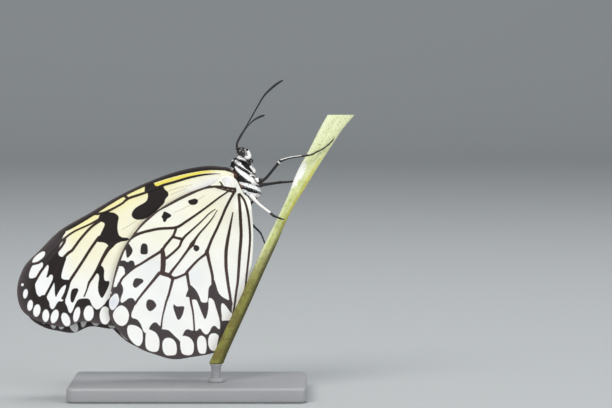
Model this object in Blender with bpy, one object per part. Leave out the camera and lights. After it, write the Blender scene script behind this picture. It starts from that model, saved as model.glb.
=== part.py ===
# Paper kite butterfly, life size, wings closed over its back, gripping a cut length of green stem on a stand.
# The animal is laid out in millimetres from the base of its wings: "out" runs towards the back of the body,
# which is where the closed wings point, "down" runs towards the tail, and "side" is negative on the right.

import math

import bmesh
import bpy
from mathutils import Matrix, Vector
from mathutils.geometry import delaunay_2d_cdt

MM = 0.001
GAP = 0.3                    # clearance that touching pieces keep
WING_BASE_OUT = 14.0         # wing base, measured along the picture from the middle of the stand
WING_BASE_HEIGHT = 57.0      # wing base above the floor

MEMBRANE = 0.5               # thickness of a wing between its veins
FORE_LAYER = 0.6             # the forewings lie inside the hindwings
HIND_LAYER = 1.65
BASE_SPREAD = 2.3            # how far the wing bases stand apart round the thorax
BASE_REACH = 8.0
LEAST_SPREAD = 0.35          # half the air between the two forewings where they are closest
EDGE_SPREAD = 1.5            # how far the outer edges have fallen open
ABDOMEN_BULGE = 0.5          # hindwings bow out round the abdomen
RIM_STEP = 2.4
SHEET_STEP = 4.0
VEIN_STEP = 3.2
VEIN_HALF = 0.45             # half the width of a vein's ridge
VEIN_RISE = 0.13             # height of the ridge on each face
VEIN_APART = 0.8             # closest that two ridges come, in ridge half widths
ROW_STEP = 0.87              # rows of sheet points, closer than the points in a row
RIM_ROOM = 0.45              # clear of the rim and of the veins, in sheet steps
VEIN_ROOM = 0.4
SHEET_ROWS = 13
SHEET_COLUMNS = 16
FALL_OPEN = (22.0, 68.0)     # distances from the wing base over which the edges fall open
FORE_HELD = (1.4, 3.6)       # how far out a forewing root leaves the thorax
HIND_HELD = (0.0, 2.2)
HIND_HELD_DOWN = (3.0, 7.0)
BULGE_REACH = 3.2
BULGE_START = (2.0, 8.0)
BULGE_END = (17.0, 27.0)
FORE_TURN = 2.6              # the far wings show past the near ones
HIND_TURN = -3.5
HIND_SHIFT = (0.7, 0.9)

ABDOMEN_OUT = -0.9
ABDOMEN_RADIUS = 1.85

BASE_LENGTH = 64.0
BASE_WIDTH = 36.0
BASE_HEIGHT = 4.0
BASE_ROUND = 0.8
ROD_RADIUS = 1.3

BODY_SIDES = 16
LIMB_SIDES = 8
STEM_SIDES = 12
LIMB_STEP = 1.6
STEM_STEP = 4.0
SHARP_ANGLE = 50.0

FORE_OUTLINE = [
    (2.6, -4.4), (4.0, -5.0), (9.5, -5.25), (17.0, -3.8), (25.0, -0.9), (33.0, 2.9), (41.0, 7.6),
    (48.5, 12.0), (54.0, 17.3), (58.4, 22.0), (60.3, 28.0), (59.2, 33.4), (55.6, 36.3), (51.6, 37.6),
    (47.2, 38.3), (42.6, 36.8), (37.6, 37.6), (32.2, 38.0), (27.8, 36.3), (21.0, 26.8), (10.0, 11.3),
    (3.4, 1.9), (1.8, -0.9), (1.7, -3.1),
]
HIND_OUTLINE = [
    (0.2, -0.2), (1.0, -1.7), (2.3, -2.6), (4.0, -2.7), (5.6, -1.9), (6.8, -0.7), (8.6, 0.0), (14.0, 2.0),
    (20.0, 5.2), (25.4, 9.0), (28.8, 13.0), (31.4, 16.8), (33.4, 21.8), (34.7, 27.2), (35.5, 32.3),
    (35.3, 35.6), (33.5, 38.6), (30.9, 41.3), (27.3, 44.0), (23.0, 45.7), (18.0, 47.0), (13.0, 46.4),
    (7.2, 45.3), (5.0, 43.6), (2.6, 38.8), (-0.6, 31.3), (-2.8, 23.5), (-3.55, 14.5), (-3.2, 6.5),
    (-2.4, 3.4), (-0.9, 2.0),
]
FORE_VEINS = {
    "costal": [(2.8, -4.3), (8.0, -4.7), (14.0, -4.0), (20.0, -2.2), (25.5, -0.2), (31.0, 2.3)],
    "radial": [
        (2.4, -3.3), (8.0, -3.25), (14.0, -2.2), (20.0, -0.25), (25.6, 1.9), (30.2, 3.5), (34.0, 5.8),
        (37.0, 7.2),
    ],
    "radial_tip": [(37.0, 7.2), (41.0, 8.6), (45.0, 11.6), (48.2, 14.0), (53.3, 19.7), (56.4, 21.2)],
    "cell_end": [(37.0, 7.2), (37.4, 9.1), (37.2, 11.4), (37.6, 13.8), (33.8, 15.8), (28.5, 13.0)],
    "median_1": [(37.0, 7.2), (40.0, 9.3), (45.6, 12.9), (50.3, 18.1), (55.4, 26.2), (58.6, 32.4)],
    "median_2": [(37.4, 9.1), (42.0, 13.5), (47.2, 19.8), (52.1, 28.8), (54.0, 36.0)],
    "median_3": [(37.6, 13.8), (42.5, 20.0), (46.9, 27.8), (48.9, 34.5), (49.0, 37.2)],
    "cubital": [(1.8, -1.6), (10.0, 1.6), (20.0, 7.4), (28.5, 13.0)],
    "cubital_1": [(33.8, 15.8), (37.8, 20.9), (41.3, 27.3), (43.0, 36.4)],
    "cubital_2": [(28.5, 13.0), (32.2, 23.0), (34.5, 33.0), (34.9, 37.2)],
    "cubital_3": [(20.0, 7.4), (24.5, 15.0), (29.8, 30.5), (31.2, 37.2)],
    "anal": [(2.2, -0.9), (12.0, 11.4), (24.0, 28.6), (28.2, 35.6)],
}
HIND_VEINS = {
    "costal": [
        (1.2, 0.9), (5.0, 0.45), (10.0, 1.2), (16.0, 3.8), (23.0, 7.8), (27.0, 11.8), (31.0, 17.6),
        (33.4, 24.6), (34.6, 32.5),
    ],
    "radial": [(1.5, 1.2), (4.2, 2.5), (10.0, 6.5), (17.6, 11.4)],
    "sector": [(17.6, 11.4), (22.5, 11.7), (28.4, 13.5)],
    "median_1": [(17.6, 11.4), (18.2, 13.7), (20.9, 17.5), (26.5, 20.8), (31.4, 24.4), (34.2, 28.4)],
    "cross_upper": [(18.2, 13.7), (15.4, 14.5)],
    "streak_upper": [(6.8, 6.6), (15.4, 14.5), (17.6, 17.5), (20.3, 19.4)],
    "streak_lower": [(6.2, 6.5), (10.4, 12.3), (14.2, 17.3), (18.7, 23.6)],
    "cross_middle": [(20.9, 17.5), (20.95, 21.4), (21.3, 23.5)],
    "cross_lower": [(21.3, 23.5), (18.2, 25.3), (14.3, 23.6)],
    "median_2": [(21.3, 23.5), (25.6, 27.7), (28.4, 31.1), (29.8, 34.8), (31.4, 40.2)],
    "median_3": [(18.2, 25.3), (19.6, 29.0), (21.1, 35.0), (21.7, 39.0), (21.5, 45.6)],
    "cubital": [(1.2, 1.5), (3.6, 5.6), (6.3, 11.8), (8.9, 17.9), (11.2, 20.1), (14.3, 23.6)],
    "cubital_1": [(14.3, 23.6), (13.4, 29.7), (12.5, 37.0), (12.1, 45.8)],
    "cubital_2": [(8.9, 17.9), (7.35, 25.0), (5.7, 33.0), (5.05, 38.8), (6.2, 44.2)],
    "anal_1": [(1.8, 6.3), (3.15, 13.7), (3.95, 22.0), (3.35, 28.0), (2.4, 33.7)],
    "anal_2": [(0.1, 2.6), (-0.1, 9.0), (0.2, 18.0), (0.95, 28.0), (2.1, 35.7)],
    "anal_3": [(-0.6, 2.8), (-1.65, 6.0), (-2.4, 14.0), (-1.8, 22.5), (-0.3, 30.5)],
}

# Thorax stations: down, back line, belly line, half width
THORAX = [
    (-7.5, 1.5, -1.1, 1.1), (-6.8, 2.4, -1.9, 1.75), (-5.0, 3.0, -2.95, 2.4), (-3.0, 2.9, -4.1, 2.75),
    (-0.5, 2.6, -5.2, 2.8), (1.2, 2.3, -5.8, 2.65), (2.4, 1.9, -5.95, 2.35), (3.4, 1.4, -5.2, 2.0),
    (4.1, 1.0, -3.7, 1.6), (4.7, 0.5, -2.7, 1.2),
]
# Abdomen stations: down, radius
ABDOMEN = [
    (5.0, 1.3), (6.2, 1.75), (9.0, ABDOMEN_RADIUS), (13.0, 1.8), (17.0, 1.65), (20.5, 1.4), (23.2, 1.05),
    (24.9, 0.6), (25.6, 0.3),
]
HEAD_CENTRE = (-0.35, -9.0, 0.0)
HEAD_HALF = (1.45, 1.3, 1.4)
EYE_HALF = (1.05, 1.05, 0.8)
EYE_CENTRE = (-0.3, -9.0, 1.3)

# Limb routes: out, down, side, radius; the side is taken as written for the left and mirrored for a pair
PALP = [(-1.2, -7.6, 0.55, 0.34), (-2.1, -7.9, 0.62, 0.48), (-2.6, -8.7, 0.62, 0.44), (-2.3, -9.8, 0.55, 0.26)]
FORELEG = [(-2.6, -2.6, 1.5, 0.4), (-3.9, -3.5, 2.25, 0.34), (-2.9, -5.1, 2.55, 0.28), (-1.8, -6.9, 2.3, 0.25)]
MIDLEG_RIGHT = [
    (-3.2, -0.9, -1.2, 1.0), (-5.3, -1.25, -1.6, 0.85), (-6.2, -1.5, -1.95, 0.5), (-7.4, -2.5, -2.3, 0.45),
    (-10.6, -6.4, -3.2, 0.42), (-11.4, -6.95, -3.3, 0.4), (-14.1, -7.7, -3.0, 0.32), (-18.95, -8.3, -1.9, 0.3),
    (-20.7, -9.05, -0.95, 0.26), (-22.6, -10.0, -0.75, 0.25), (-24.6, -11.7, -0.75, 0.25),
    (-25.4, -12.8, -0.8, 0.14),
]
MIDLEG_LEFT = [
    (-3.2, -0.3, 1.2, 1.0), (-5.2, 0.0, 1.7, 0.8), (-6.2, 0.0, 2.3, 0.5), (-10.0, -0.3, 5.8, 0.42),
    (-10.7, -0.4, 5.9, 0.4), (-14.1, -0.8, 3.6, 0.32), (-16.8, -1.6, 2.0, 0.28), (-18.6, -4.2, 1.9, 0.25),
    (-19.9, -6.4, 1.9, 0.14),
]
HINDLEG_RIGHT = [
    (-2.8, 2.6, -1.2, 0.9), (-4.2, 4.1, -2.2, 0.6), (-5.6, 5.3, -3.5, 0.45), (-8.6, 7.35, -6.6, 0.42),
    (-9.1, 7.8, -6.9, 0.4), (-10.3, 8.5, -4.2, 0.32), (-11.0, 8.9, -2.3, 0.28), (-11.4, 9.1, -1.6, 0.26),
    (-11.9, 9.2, -1.35, 0.14),
]
HINDLEG_LEFT = [
    (-2.8, 2.4, 1.1, 0.9), (-3.3, 4.0, 1.5, 0.6), (-2.7, 5.6, 1.75, 0.36), (-2.5, 8.0, 1.8, 0.3),
    (-3.0, 10.4, 1.7, 0.3), (-3.7, 11.3, 1.6, 0.3), (-5.45, 13.05, 1.1, 0.28), (-6.3, 14.9, 0.4, 0.25),
    (-7.2, 17.4, 0.1, 0.25), (-7.6, 18.9, -0.1, 0.14),
]
ANTENNA_RIGHT = [
    (0.75, -9.7, -0.6, 0.28), (0.95, -11.2, -0.9, 0.25), (0.15, -13.1, -1.3, 0.25), (-1.4, -15.5, -1.8, 0.25),
    (-2.9, -18.1, -2.3, 0.25), (-4.9, -21.6, -3.0, 0.26), (-6.4, -24.1, -3.4, 0.28), (-7.95, -25.8, -3.7, 0.32),
    (-9.7, -27.3, -4.0, 0.34), (-11.1, -28.2, -4.1, 0.28), (-11.7, -28.5, -4.2, 0.15),
]
ANTENNA_LEFT = [
    (0.75, -9.7, 0.6, 0.28), (0.75, -11.2, 1.3, 0.25), (-0.2, -13.0, 3.2, 0.25), (-1.3, -14.9, 6.6, 0.25),
    (-2.6, -16.4, 10.6, 0.26), (-4.0, -17.4, 14.6, 0.3), (-5.2, -17.9, 17.6, 0.34), (-6.0, -18.1, 19.3, 0.28),
    (-6.3, -18.2, 20.0, 0.15),
]
PROBOSCIS_CENTRE = (-2.95, -6.55)
PROBOSCIS_RADIUS = 0.52
PROBOSCIS_TUBE = 0.26
PROBOSCIS_TURNS = range(-60, 250, 22)

# Stem stations: out, down, side, width, thickness
STEM = [
    (-27.3, -19.0, 0.7, 7.3, 1.3), (-24.5, -15.0, 0.6, 6.2, 1.3), (-21.6, -10.0, 0.45, 5.4, 1.3),
    (-18.7, -5.0, 0.3, 4.75, 1.35), (-16.1, 0.0, 0.2, 3.9, 1.4), (-13.45, 5.0, 0.1, 3.0, 1.5),
    (-10.95, 10.0, -0.2, 2.8, 1.5), (-8.65, 15.0, -1.1, 3.2, 1.5), (-6.3, 20.0, -2.4, 3.3, 1.5),
    (-4.0, 25.0, -3.4, 3.3, 1.5), (-1.8, 30.0, -3.8, 3.35, 1.5), (1.2, 36.5, -4.1, 3.45, 1.5),
    (5.0, 44.6, -4.2, 3.7, 1.5), (6.5, 48.0, -4.2, 3.9, 1.5),
]


def place(out, down, side):
    return Vector((WING_BASE_OUT - out, side, WING_BASE_HEIGHT - down)) * MM


def ease(value, start, end):
    part = min(1.0, max(0.0, (value - start) / (end - start)))
    return part * part * (3.0 - 2.0 * part)


def curve_points(points, step, closed=False):
    """Points along a smooth curve through the given ones, which stay on it."""
    size = len(points)
    made = []
    for i in range(size if closed else size - 1):
        here, after = Vector(points[i]), Vector(points[(i + 1) % size])
        before = Vector(points[i - 1]) if closed or i else here
        beyond = Vector(points[(i + 2) % size]) if closed or i + 2 < size else after
        cuts = max(1, round((after - here).length / step))
        for cut in range(cuts):
            t = cut / cuts
            made.append(0.5 * (
                2 * here + (after - before) * t + (2 * before - 5 * here + 4 * after - beyond) * t ** 2
                + (3 * here - before - 3 * after + beyond) * t ** 3
            ))
    if not closed:
        made.append(Vector(points[-1]))
    return made


def material(name, colour, roughness, metallic=0.0):
    made = bpy.data.materials.new(name)
    made.use_nodes = True
    shader = made.node_tree.nodes["Principled BSDF"]
    shader.inputs["Base Color"].default_value = (*colour, 1.0)
    shader.inputs["Roughness"].default_value = roughness
    shader.inputs["Metallic"].default_value = metallic
    return made


def node(name, bm, finish):
    """A named object from a bmesh that is already in its place, in metres."""
    bmesh.ops.recalc_face_normals(bm, faces=bm.faces)
    mesh = bpy.data.meshes.new(name)
    bm.to_mesh(mesh)
    bm.free()
    mesh.shade_smooth()
    mesh.set_sharp_from_angle(angle=math.radians(SHARP_ANGLE))
    mesh.materials.append(finish)
    made = bpy.data.objects.new(name, mesh)
    bpy.context.scene.collection.objects.link(made)
    return made


def hide_cutter(obj):
    obj.hide_render = True
    obj.display_type = "WIRE"
    return obj


def cut(obj, cutter):
    step = obj.modifiers.new("Clearance from " + cutter.name, "BOOLEAN")
    step.operation = "DIFFERENCE"
    step.object = cutter


def loft(bm, rings):
    """Skins closed rings of points in order, and caps both ends."""
    loops = [[bm.verts.new(point) for point in ring] for ring in rings]
    for low, high in zip(loops, loops[1:]):
        for i in range(len(low)):
            bm.faces.new((low[i - 1], low[i], high[i], high[i - 1]))
    bm.faces.new(loops[0])
    bm.faces.new(loops[-1][::-1])


def body_ring(down, back, belly, half_width, sides, grow=0.0):
    """An oval across the body, wider towards the belly."""
    middle, half_depth = (back + belly) / 2, (back - belly) / 2 + grow
    ring = []
    for i in range(sides):
        turn = math.tau * i / sides
        ring.append(place(middle + half_depth * math.cos(turn), down, (half_width + grow) * math.sin(turn)))
    return ring


def thorax_rings(sides, grow=0.0):
    stations = curve_points(THORAX, 1.3)
    first, last = stations[0], stations[-1]
    rings = [body_ring(*station, sides, grow) for station in stations]
    rings[0] = body_ring(first[0] - grow, *first[1:], sides, grow)
    rings[-1] = body_ring(last[0] + grow, *last[1:], sides, grow)
    return rings


def tube_rings(route, sides):
    """Rings square to a route whose points carry their own radius."""
    turns = [math.tau * k / sides for k in range(sides)]
    rings = []
    across = None
    for i, (*middle, radius) in enumerate(route):
        here = place(*middle)
        before = place(*route[max(i - 1, 0)][:3])
        after = place(*route[min(i + 1, len(route) - 1)][:3])
        along = (after - before).normalized()
        if across is None:
            across = along.orthogonal()
        across = (across - along * across.dot(along)).normalized()
        beside = along.cross(across)
        rings.append([
            here + (across * math.cos(turn) + beside * math.sin(turn)) * radius * MM for turn in turns
        ])
    return rings


def tube(name, route, finish, sides=LIMB_SIDES, step=LIMB_STEP):
    bm = bmesh.new()
    loft(bm, tube_rings([tuple(point) for point in curve_points(route, step)], sides))
    return node(name, bm, finish)


def mirrored(route):
    return [(out, down, -side, radius) for out, down, side, radius in route]


def ball(bm, centre, half_sizes, segments, rings):
    made = bmesh.ops.create_uvsphere(bm, u_segments=segments, v_segments=rings, radius=1.0)["verts"]
    out, down, side = half_sizes
    size = Matrix.Diagonal((out * MM, side * MM, down * MM, 1.0))
    bmesh.ops.transform(bm, matrix=Matrix.Translation(place(*centre)) @ size, verts=made)


def distance_to_line(point, line):
    best = math.inf
    for start, end in zip(line, line[1:]):
        run = end - start
        part = max(0.0, min(1.0, (point - start).dot(run) / run.length_squared))
        best = min(best, (point - start - run * part).length)
    return best


def inside(point, rim):
    crossings = False
    for start, end in zip(rim, rim[1:] + rim[:1]):
        if (start.y > point.y) != (end.y > point.y):
            if point.x < start.x + (end.x - start.x) * (point.y - start.y) / (end.y - start.y):
                crossings = not crossings
    return crossings


def thorax_side(out, down):
    """Half width of the thorax at a point of its flank, and 0 past its back or belly."""
    down = min(max(down, THORAX[0][0]), THORAX[-1][0])
    for low, high in zip(THORAX, THORAX[1:]):
        if down <= high[0]:
            part = (down - low[0]) / (high[0] - low[0])
            _, back, belly, half_width = [start + (end - start) * part for start, end in zip(low, high)]
            break
    reach = (2 * out - back - belly) / (back - belly)
    return half_width * math.sqrt(max(0.0, 1.0 - reach * reach))


def wing_side(out, down, layer):
    """How far from the middle of the body a wing lies: against the thorax at its root, then in its layer."""
    sheet = BASE_SPREAD * math.exp(-(out ** 2 + down ** 2) / BASE_REACH ** 2)
    sheet += EDGE_SPREAD * ease(math.hypot(out, down), *FALL_OPEN) + LEAST_SPREAD + layer
    root = thorax_side(out, down)
    if layer == FORE_LAYER:
        held = 1.0 - ease(out, *FORE_HELD)
    else:
        round_abdomen = math.exp(-((out - ABDOMEN_OUT) / BULGE_REACH) ** 2) * (1.0 - ease(down, *BULGE_END))
        sheet += ABDOMEN_BULGE * round_abdomen * ease(down, *BULGE_START)
        root = max(root, ABDOMEN_RADIUS)
        held = (1.0 - ease(out, *HIND_HELD)) * (1.0 - ease(down, *HIND_HELD_DOWN))
    return sheet + (root + GAP + MEMBRANE / 2 + VEIN_RISE - sheet) * held


def vein_lines(veins, rim):
    """The middle and both sides of each vein's ridge, as rows of points on the sheet."""
    edge = rim + rim[:1]
    middles = [curve_points(route, VEIN_STEP) for route in veins.values()]
    rows = []
    for middle in middles:
        for offset in (0.0, -VEIN_HALF, VEIN_HALF):
            row = []
            for before, here, after in zip(middle[:1] + middle, middle, middle[1:] + middle[-1:]):
                along = (after - before).normalized()
                spot = here + Vector((-along.y, along.x)) * offset
                clear = inside(spot, rim) and distance_to_line(spot, edge) > VEIN_HALF
                if offset and clear:
                    clear = min(distance_to_line(spot, other) for other in middles) > VEIN_APART * VEIN_HALF
                if clear:
                    row.append(spot)
                elif row:
                    rows.append(row)
                    row = []
            rows.append(row)
    return middles, rows


def sheet_points(rim, middles):
    """Points that fill the sheet between its veins."""
    edge = rim + rim[:1]
    made = []
    for row in range(-2, SHEET_ROWS):
        for column in range(-2, SHEET_COLUMNS):
            spot = Vector(((column + 0.5 * (row % 2)) * SHEET_STEP, row * SHEET_STEP * ROW_STEP))
            if not inside(spot, rim) or distance_to_line(spot, edge) < RIM_ROOM * SHEET_STEP:
                continue
            if min(distance_to_line(spot, middle) for middle in middles) > VEIN_ROOM * SHEET_STEP:
                made.append(spot)
    return made


def wing(name, outline, veins, layer, side, finish, turn=0.0, shift=(0.0, 0.0)):
    """A thin sheet split into the same triangles on both faces, with its veins raised in it."""
    rim = curve_points(outline, RIM_STEP, closed=True)
    middles, rows = vein_lines(veins, rim)
    points = rim + sheet_points(rim, middles)
    edges = [(i, (i + 1) % len(rim)) for i in range(len(rim))]
    for row in rows:
        edges += [(len(points) + i, len(points) + i + 1) for i in range(len(row) - 1)]
        points += row
    flat, _, triangles, _, _, _ = delaunay_2d_cdt(points, edges, [], 1, 1e-5)
    bm = bmesh.new()
    swing = Matrix.Rotation(math.radians(turn), 2)
    pairs = {}
    for i, spot in enumerate(flat):
        at = swing @ spot + Vector(shift)
        middle = wing_side(at.x, at.y, layer)
        to_vein = min(distance_to_line(spot, line) for line in middles)
        half = MEMBRANE / 2 + VEIN_RISE * max(0.0, 1.0 - to_vein / VEIN_HALF)
        pairs[i] = [bm.verts.new(place(at.x, at.y, side * (middle + way * half))) for way in (-1, 1)]
    loose = set()
    for triangle in triangles:
        for way in (0, 1):
            order = triangle if way else triangle[::-1]
            bm.faces.new([pairs[i][way] for i in order])
        for start, end in zip(triangle, triangle[1:] + triangle[:1]):
            loose ^= {(min(start, end), max(start, end))}
    for start, end in loose:
        bm.faces.new((pairs[start][0], pairs[end][0], pairs[end][1], pairs[start][1]))
    return node(name, bm, finish)


def clear_scene():
    for obj in list(bpy.data.objects):
        bpy.data.objects.remove(obj, do_unlink=True)


def build():
    clear_scene()
    white = material("wing white scales", (0.86, 0.85, 0.76), 0.75)
    body_hair = material("body hair", (0.12, 0.11, 0.10), 0.85)
    shell = material("dark shell", (0.02, 0.018, 0.016), 0.45)
    eye_finish = material("eye", (0.03, 0.02, 0.015), 0.12)
    green = material("green stem", (0.42, 0.47, 0.13), 0.5)
    stand = material("stand", (0.30, 0.30, 0.31), 0.45)

    bm = bmesh.new()
    loft(bm, thorax_rings(BODY_SIDES))
    node("thorax", bm, body_hair)
    bm = bmesh.new()
    loft(bm, thorax_rings(BODY_SIDES, GAP))
    thorax_room = hide_cutter(node("thorax_room", bm, body_hair))

    bm = bmesh.new()
    loft(bm, [
        body_ring(down, ABDOMEN_OUT + radius, ABDOMEN_OUT - radius, radius, BODY_SIDES)
        for down, radius in curve_points(ABDOMEN, 1.8)
    ])
    cut(node("abdomen", bm, body_hair), thorax_room)

    bm = bmesh.new()
    ball(bm, HEAD_CENTRE, HEAD_HALF, 20, 14)
    head = node("head", bm, body_hair)
    cut(head, thorax_room)
    out, down, side = EYE_CENTRE
    for word, way in (("left", 1), ("right", -1)):
        bm = bmesh.new()
        ball(bm, (out, down, way * side), [half + GAP for half in EYE_HALF], 16, 12)
        eye_room = hide_cutter(node("eye_room_" + word, bm, eye_finish))
        cut(head, eye_room)
        bm = bmesh.new()
        ball(bm, (out, down, way * side), EYE_HALF, 16, 12)
        node("eye_" + word, bm, eye_finish)

    bm = bmesh.new()
    ball(bm, HEAD_CENTRE, [half + GAP for half in HEAD_HALF], 20, 14)
    head_room = hide_cutter(node("head_room", bm, body_hair))

    for word, way in (("left", 1), ("right", -1)):
        for name, route in (("palp_", PALP), ("foreleg_", FORELEG)):
            limb = tube(name + word, route if way > 0 else mirrored(route), shell)
            cut(limb, head_room if name == "palp_" else thorax_room)
    for name, route in (
        ("midleg_right", MIDLEG_RIGHT), ("midleg_left", MIDLEG_LEFT),
        ("hindleg_right", HINDLEG_RIGHT), ("hindleg_left", HINDLEG_LEFT),
    ):
        cut(tube(name, route, shell), thorax_room)
    for name, route in (("antenna_right", ANTENNA_RIGHT), ("antenna_left", ANTENNA_LEFT)):
        cut(tube(name, route, shell, sides=7), head_room)

    turns = [math.radians(angle) for angle in PROBOSCIS_TURNS]
    out, down = PROBOSCIS_CENTRE
    coil = [
        (out + PROBOSCIS_RADIUS * math.cos(turn), down - PROBOSCIS_RADIUS * math.sin(turn), 0.0, PROBOSCIS_TUBE)
        for turn in turns
    ]
    cut(tube("proboscis", coil, shell, sides=7, step=1.0), thorax_room)

    wing("forewing_right", FORE_OUTLINE, FORE_VEINS, FORE_LAYER, -1, white)
    wing("forewing_left", FORE_OUTLINE, FORE_VEINS, FORE_LAYER, 1, white, turn=FORE_TURN)
    wing("hindwing_right", HIND_OUTLINE, HIND_VEINS, HIND_LAYER, -1, white)
    wing("hindwing_left", HIND_OUTLINE, HIND_VEINS, HIND_LAYER, 1, white, turn=HIND_TURN, shift=HIND_SHIFT)

    bm = bmesh.new()
    turns = [math.tau * k / STEM_SIDES for k in range(STEM_SIDES)]
    loft(bm, [
        [place(out + width / 2 * math.cos(turn), down, side + thick / 2 * math.sin(turn)) for turn in turns]
        for out, down, side, width, thick in curve_points(STEM, STEM_STEP)
    ])
    node("perch_stem", bm, green)

    bm = bmesh.new()
    box = bmesh.ops.create_cube(bm, size=1.0)["verts"]
    size = Matrix.Diagonal((BASE_LENGTH * MM, BASE_WIDTH * MM, BASE_HEIGHT * MM, 1.0))
    bmesh.ops.transform(bm, matrix=Matrix.Translation((0, 0, BASE_HEIGHT / 2 * MM)) @ size, verts=box)
    base = node("stand_base", bm, stand)
    soften = base.modifiers.new("Rounded edges", "BEVEL")
    soften.width = BASE_ROUND * MM
    soften.segments = 2

    out, down, side = STEM[-1][:3]
    foot, top = BASE_HEIGHT + GAP, WING_BASE_HEIGHT - down - GAP
    bm = bmesh.new()
    radius = ROD_RADIUS * MM
    rod = bmesh.ops.create_cone(
        bm, cap_ends=True, segments=20, radius1=radius, radius2=radius, depth=(top - foot) * MM
    )["verts"]
    middle = Vector((WING_BASE_OUT - out, side, (foot + top) / 2)) * MM
    bmesh.ops.translate(bm, vec=middle, verts=rod)
    node("stand_rod", bm, stand)


build()
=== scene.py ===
import math
from functools import partial

import bmesh
import bpy
import numpy as np
from mathutils import Matrix, Vector


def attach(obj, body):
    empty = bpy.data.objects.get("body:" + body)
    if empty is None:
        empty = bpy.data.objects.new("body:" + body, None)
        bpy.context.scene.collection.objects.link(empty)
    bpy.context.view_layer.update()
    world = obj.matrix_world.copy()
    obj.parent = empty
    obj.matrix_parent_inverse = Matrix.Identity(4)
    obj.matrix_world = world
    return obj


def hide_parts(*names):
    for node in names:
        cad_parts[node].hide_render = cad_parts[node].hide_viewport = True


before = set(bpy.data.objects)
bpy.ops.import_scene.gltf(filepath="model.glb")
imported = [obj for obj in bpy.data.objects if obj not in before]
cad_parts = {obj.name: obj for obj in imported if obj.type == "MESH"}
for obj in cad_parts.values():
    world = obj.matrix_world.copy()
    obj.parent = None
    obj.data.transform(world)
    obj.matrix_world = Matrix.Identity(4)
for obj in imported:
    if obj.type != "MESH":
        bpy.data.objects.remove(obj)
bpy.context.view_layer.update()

mm = 0.001
draw = np.random.default_rng(11)      # the one source of random numbers

# Places are in millimetres from the base of the wings: out runs to the wing tips, down to the tail,
# and side is negative on the right, which faces the camera.
layout = {
    "wingBaseOut": 14.0,
    "wingBaseHeight": 57.0,
}


def place(out, down, side):
    return Vector((layout["wingBaseOut"] - out, side, layout["wingBaseHeight"] - down)) * mm


def placeAll(spots):
    base = np.array([layout["wingBaseOut"], 0.0, layout["wingBaseHeight"]])
    return (base + np.asarray(spots)[:, [0, 2, 1]] * [-1.0, 1.0, -1.0]) * mm


def srgb(*colour):
    return tuple(part / 12.92 if part < 0.04 else ((part + 0.055) / 1.055) ** 2.4 for part in colour) + (1.0,)


def ease(value, start, end):
    part = np.clip((value - start) / (end - start), 0.0, 1.0)
    return part * part * (3.0 - 2.0 * part)


def curve(points, step, closed=False):
    points = [np.array(point, float) for point in points]
    size = len(points)
    made = []
    for i in range(size if closed else size - 1):
        here, after = points[i], points[(i + 1) % size]
        before = points[i - 1] if closed or i else here
        beyond = points[(i + 2) % size] if closed or i + 2 < size else after
        cuts = max(1, round(float(np.linalg.norm((after - here)[:3])) / step))
        for cut in range(cuts):
            t = cut / cuts
            made.append(0.5 * (
                2 * here + (after - before) * t + (2 * before - 5 * here + 4 * after - beyond) * t ** 2
                + (3 * here - before - 3 * after + beyond) * t ** 3
            ))
    if not closed:
        made.append(points[-1])
    return np.array(made)


# Materials

class Wire:                           # a node's socket that takes part in Python maths
    def __init__(self, finish, socket):
        self.finish = finish
        self.socket = socket

    def run(self, operation, first, second):
        return self.finish.add("ShaderNodeMath", {"operation": operation}, {0: first, 1: second})

    def __add__(self, other):
        return self.run("ADD", self, other)

    def __sub__(self, other):
        return self.run("SUBTRACT", self, other)

    def __rsub__(self, other):
        return self.run("SUBTRACT", other, self)

    def __mul__(self, other):
        return self.run("MULTIPLY", self, other)

    __radd__ = __add__
    __rmul__ = __mul__


class Finish:                         # a material and the nodes that make it
    def __init__(self, name, fixed):
        self.material = bpy.data.materials.new(name)
        self.material.use_nodes = True
        self.tree = self.material.node_tree
        self.shader = self.tree.nodes["Principled BSDF"]
        for socket, value in fixed.items():
            self.shader.inputs[socket].default_value = value

    def add(self, kind, settings=None, sockets=None, output=0):
        node = self.tree.nodes.new(kind)
        for key, value in (settings or {}).items():
            setattr(node, key, value)
        for key, value in (sockets or {}).items():
            if isinstance(value, Wire):
                self.tree.links.new(value.socket, node.inputs[key])
            else:
                node.inputs[key].default_value = value
        return Wire(self, node.outputs[output])

    def attribute(self, name):
        return self.add("ShaderNodeAttribute", {"attribute_name": name}, output="Fac")

    def vector(self, name):
        return self.add("ShaderNodeAttribute", {"attribute_name": name}, output="Vector")

    def spot(self):
        return self.add("ShaderNodeTexCoord", output="Object")

    def stretched(self, vector, scale):
        return self.add("ShaderNodeMapping", None, {"Vector": vector, "Scale": scale})

    def noise(self, vector, scale, detail=2.0):
        return self.add("ShaderNodeTexNoise", None, {"Vector": vector, "Scale": scale, "Detail": detail})

    def cells(self, vector, scale, feature="F1", randomness=1.0):
        sockets = {"Vector": vector, "Scale": scale, "Randomness": randomness}
        return self.add("ShaderNodeTexVoronoi", {"feature": feature}, sockets, output="Distance")

    def fade(self, value, low, high):
        sockets = {"Value": value, "From Min": low, "From Max": high}
        return self.add("ShaderNodeMapRange", {"interpolation_type": "SMOOTHSTEP"}, sockets)

    def blend(self, factor, first, second):
        return self.add("ShaderNodeMix", {"data_type": "RGBA"}, {0: factor, 6: first, 7: second}, output=2)

    def bump(self, height, depth, strength=1.0):
        return self.add("ShaderNodeBump", None, {"Height": height, "Distance": depth, "Strength": strength})

    def show(self, **links):
        names = {"colour": "Base Color", "roughness": "Roughness", "normal": "Normal"}
        for key, wire in links.items():
            self.tree.links.new(wire.socket, self.shader.inputs[names[key]])
        return self.material


# Mesh helpers

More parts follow.
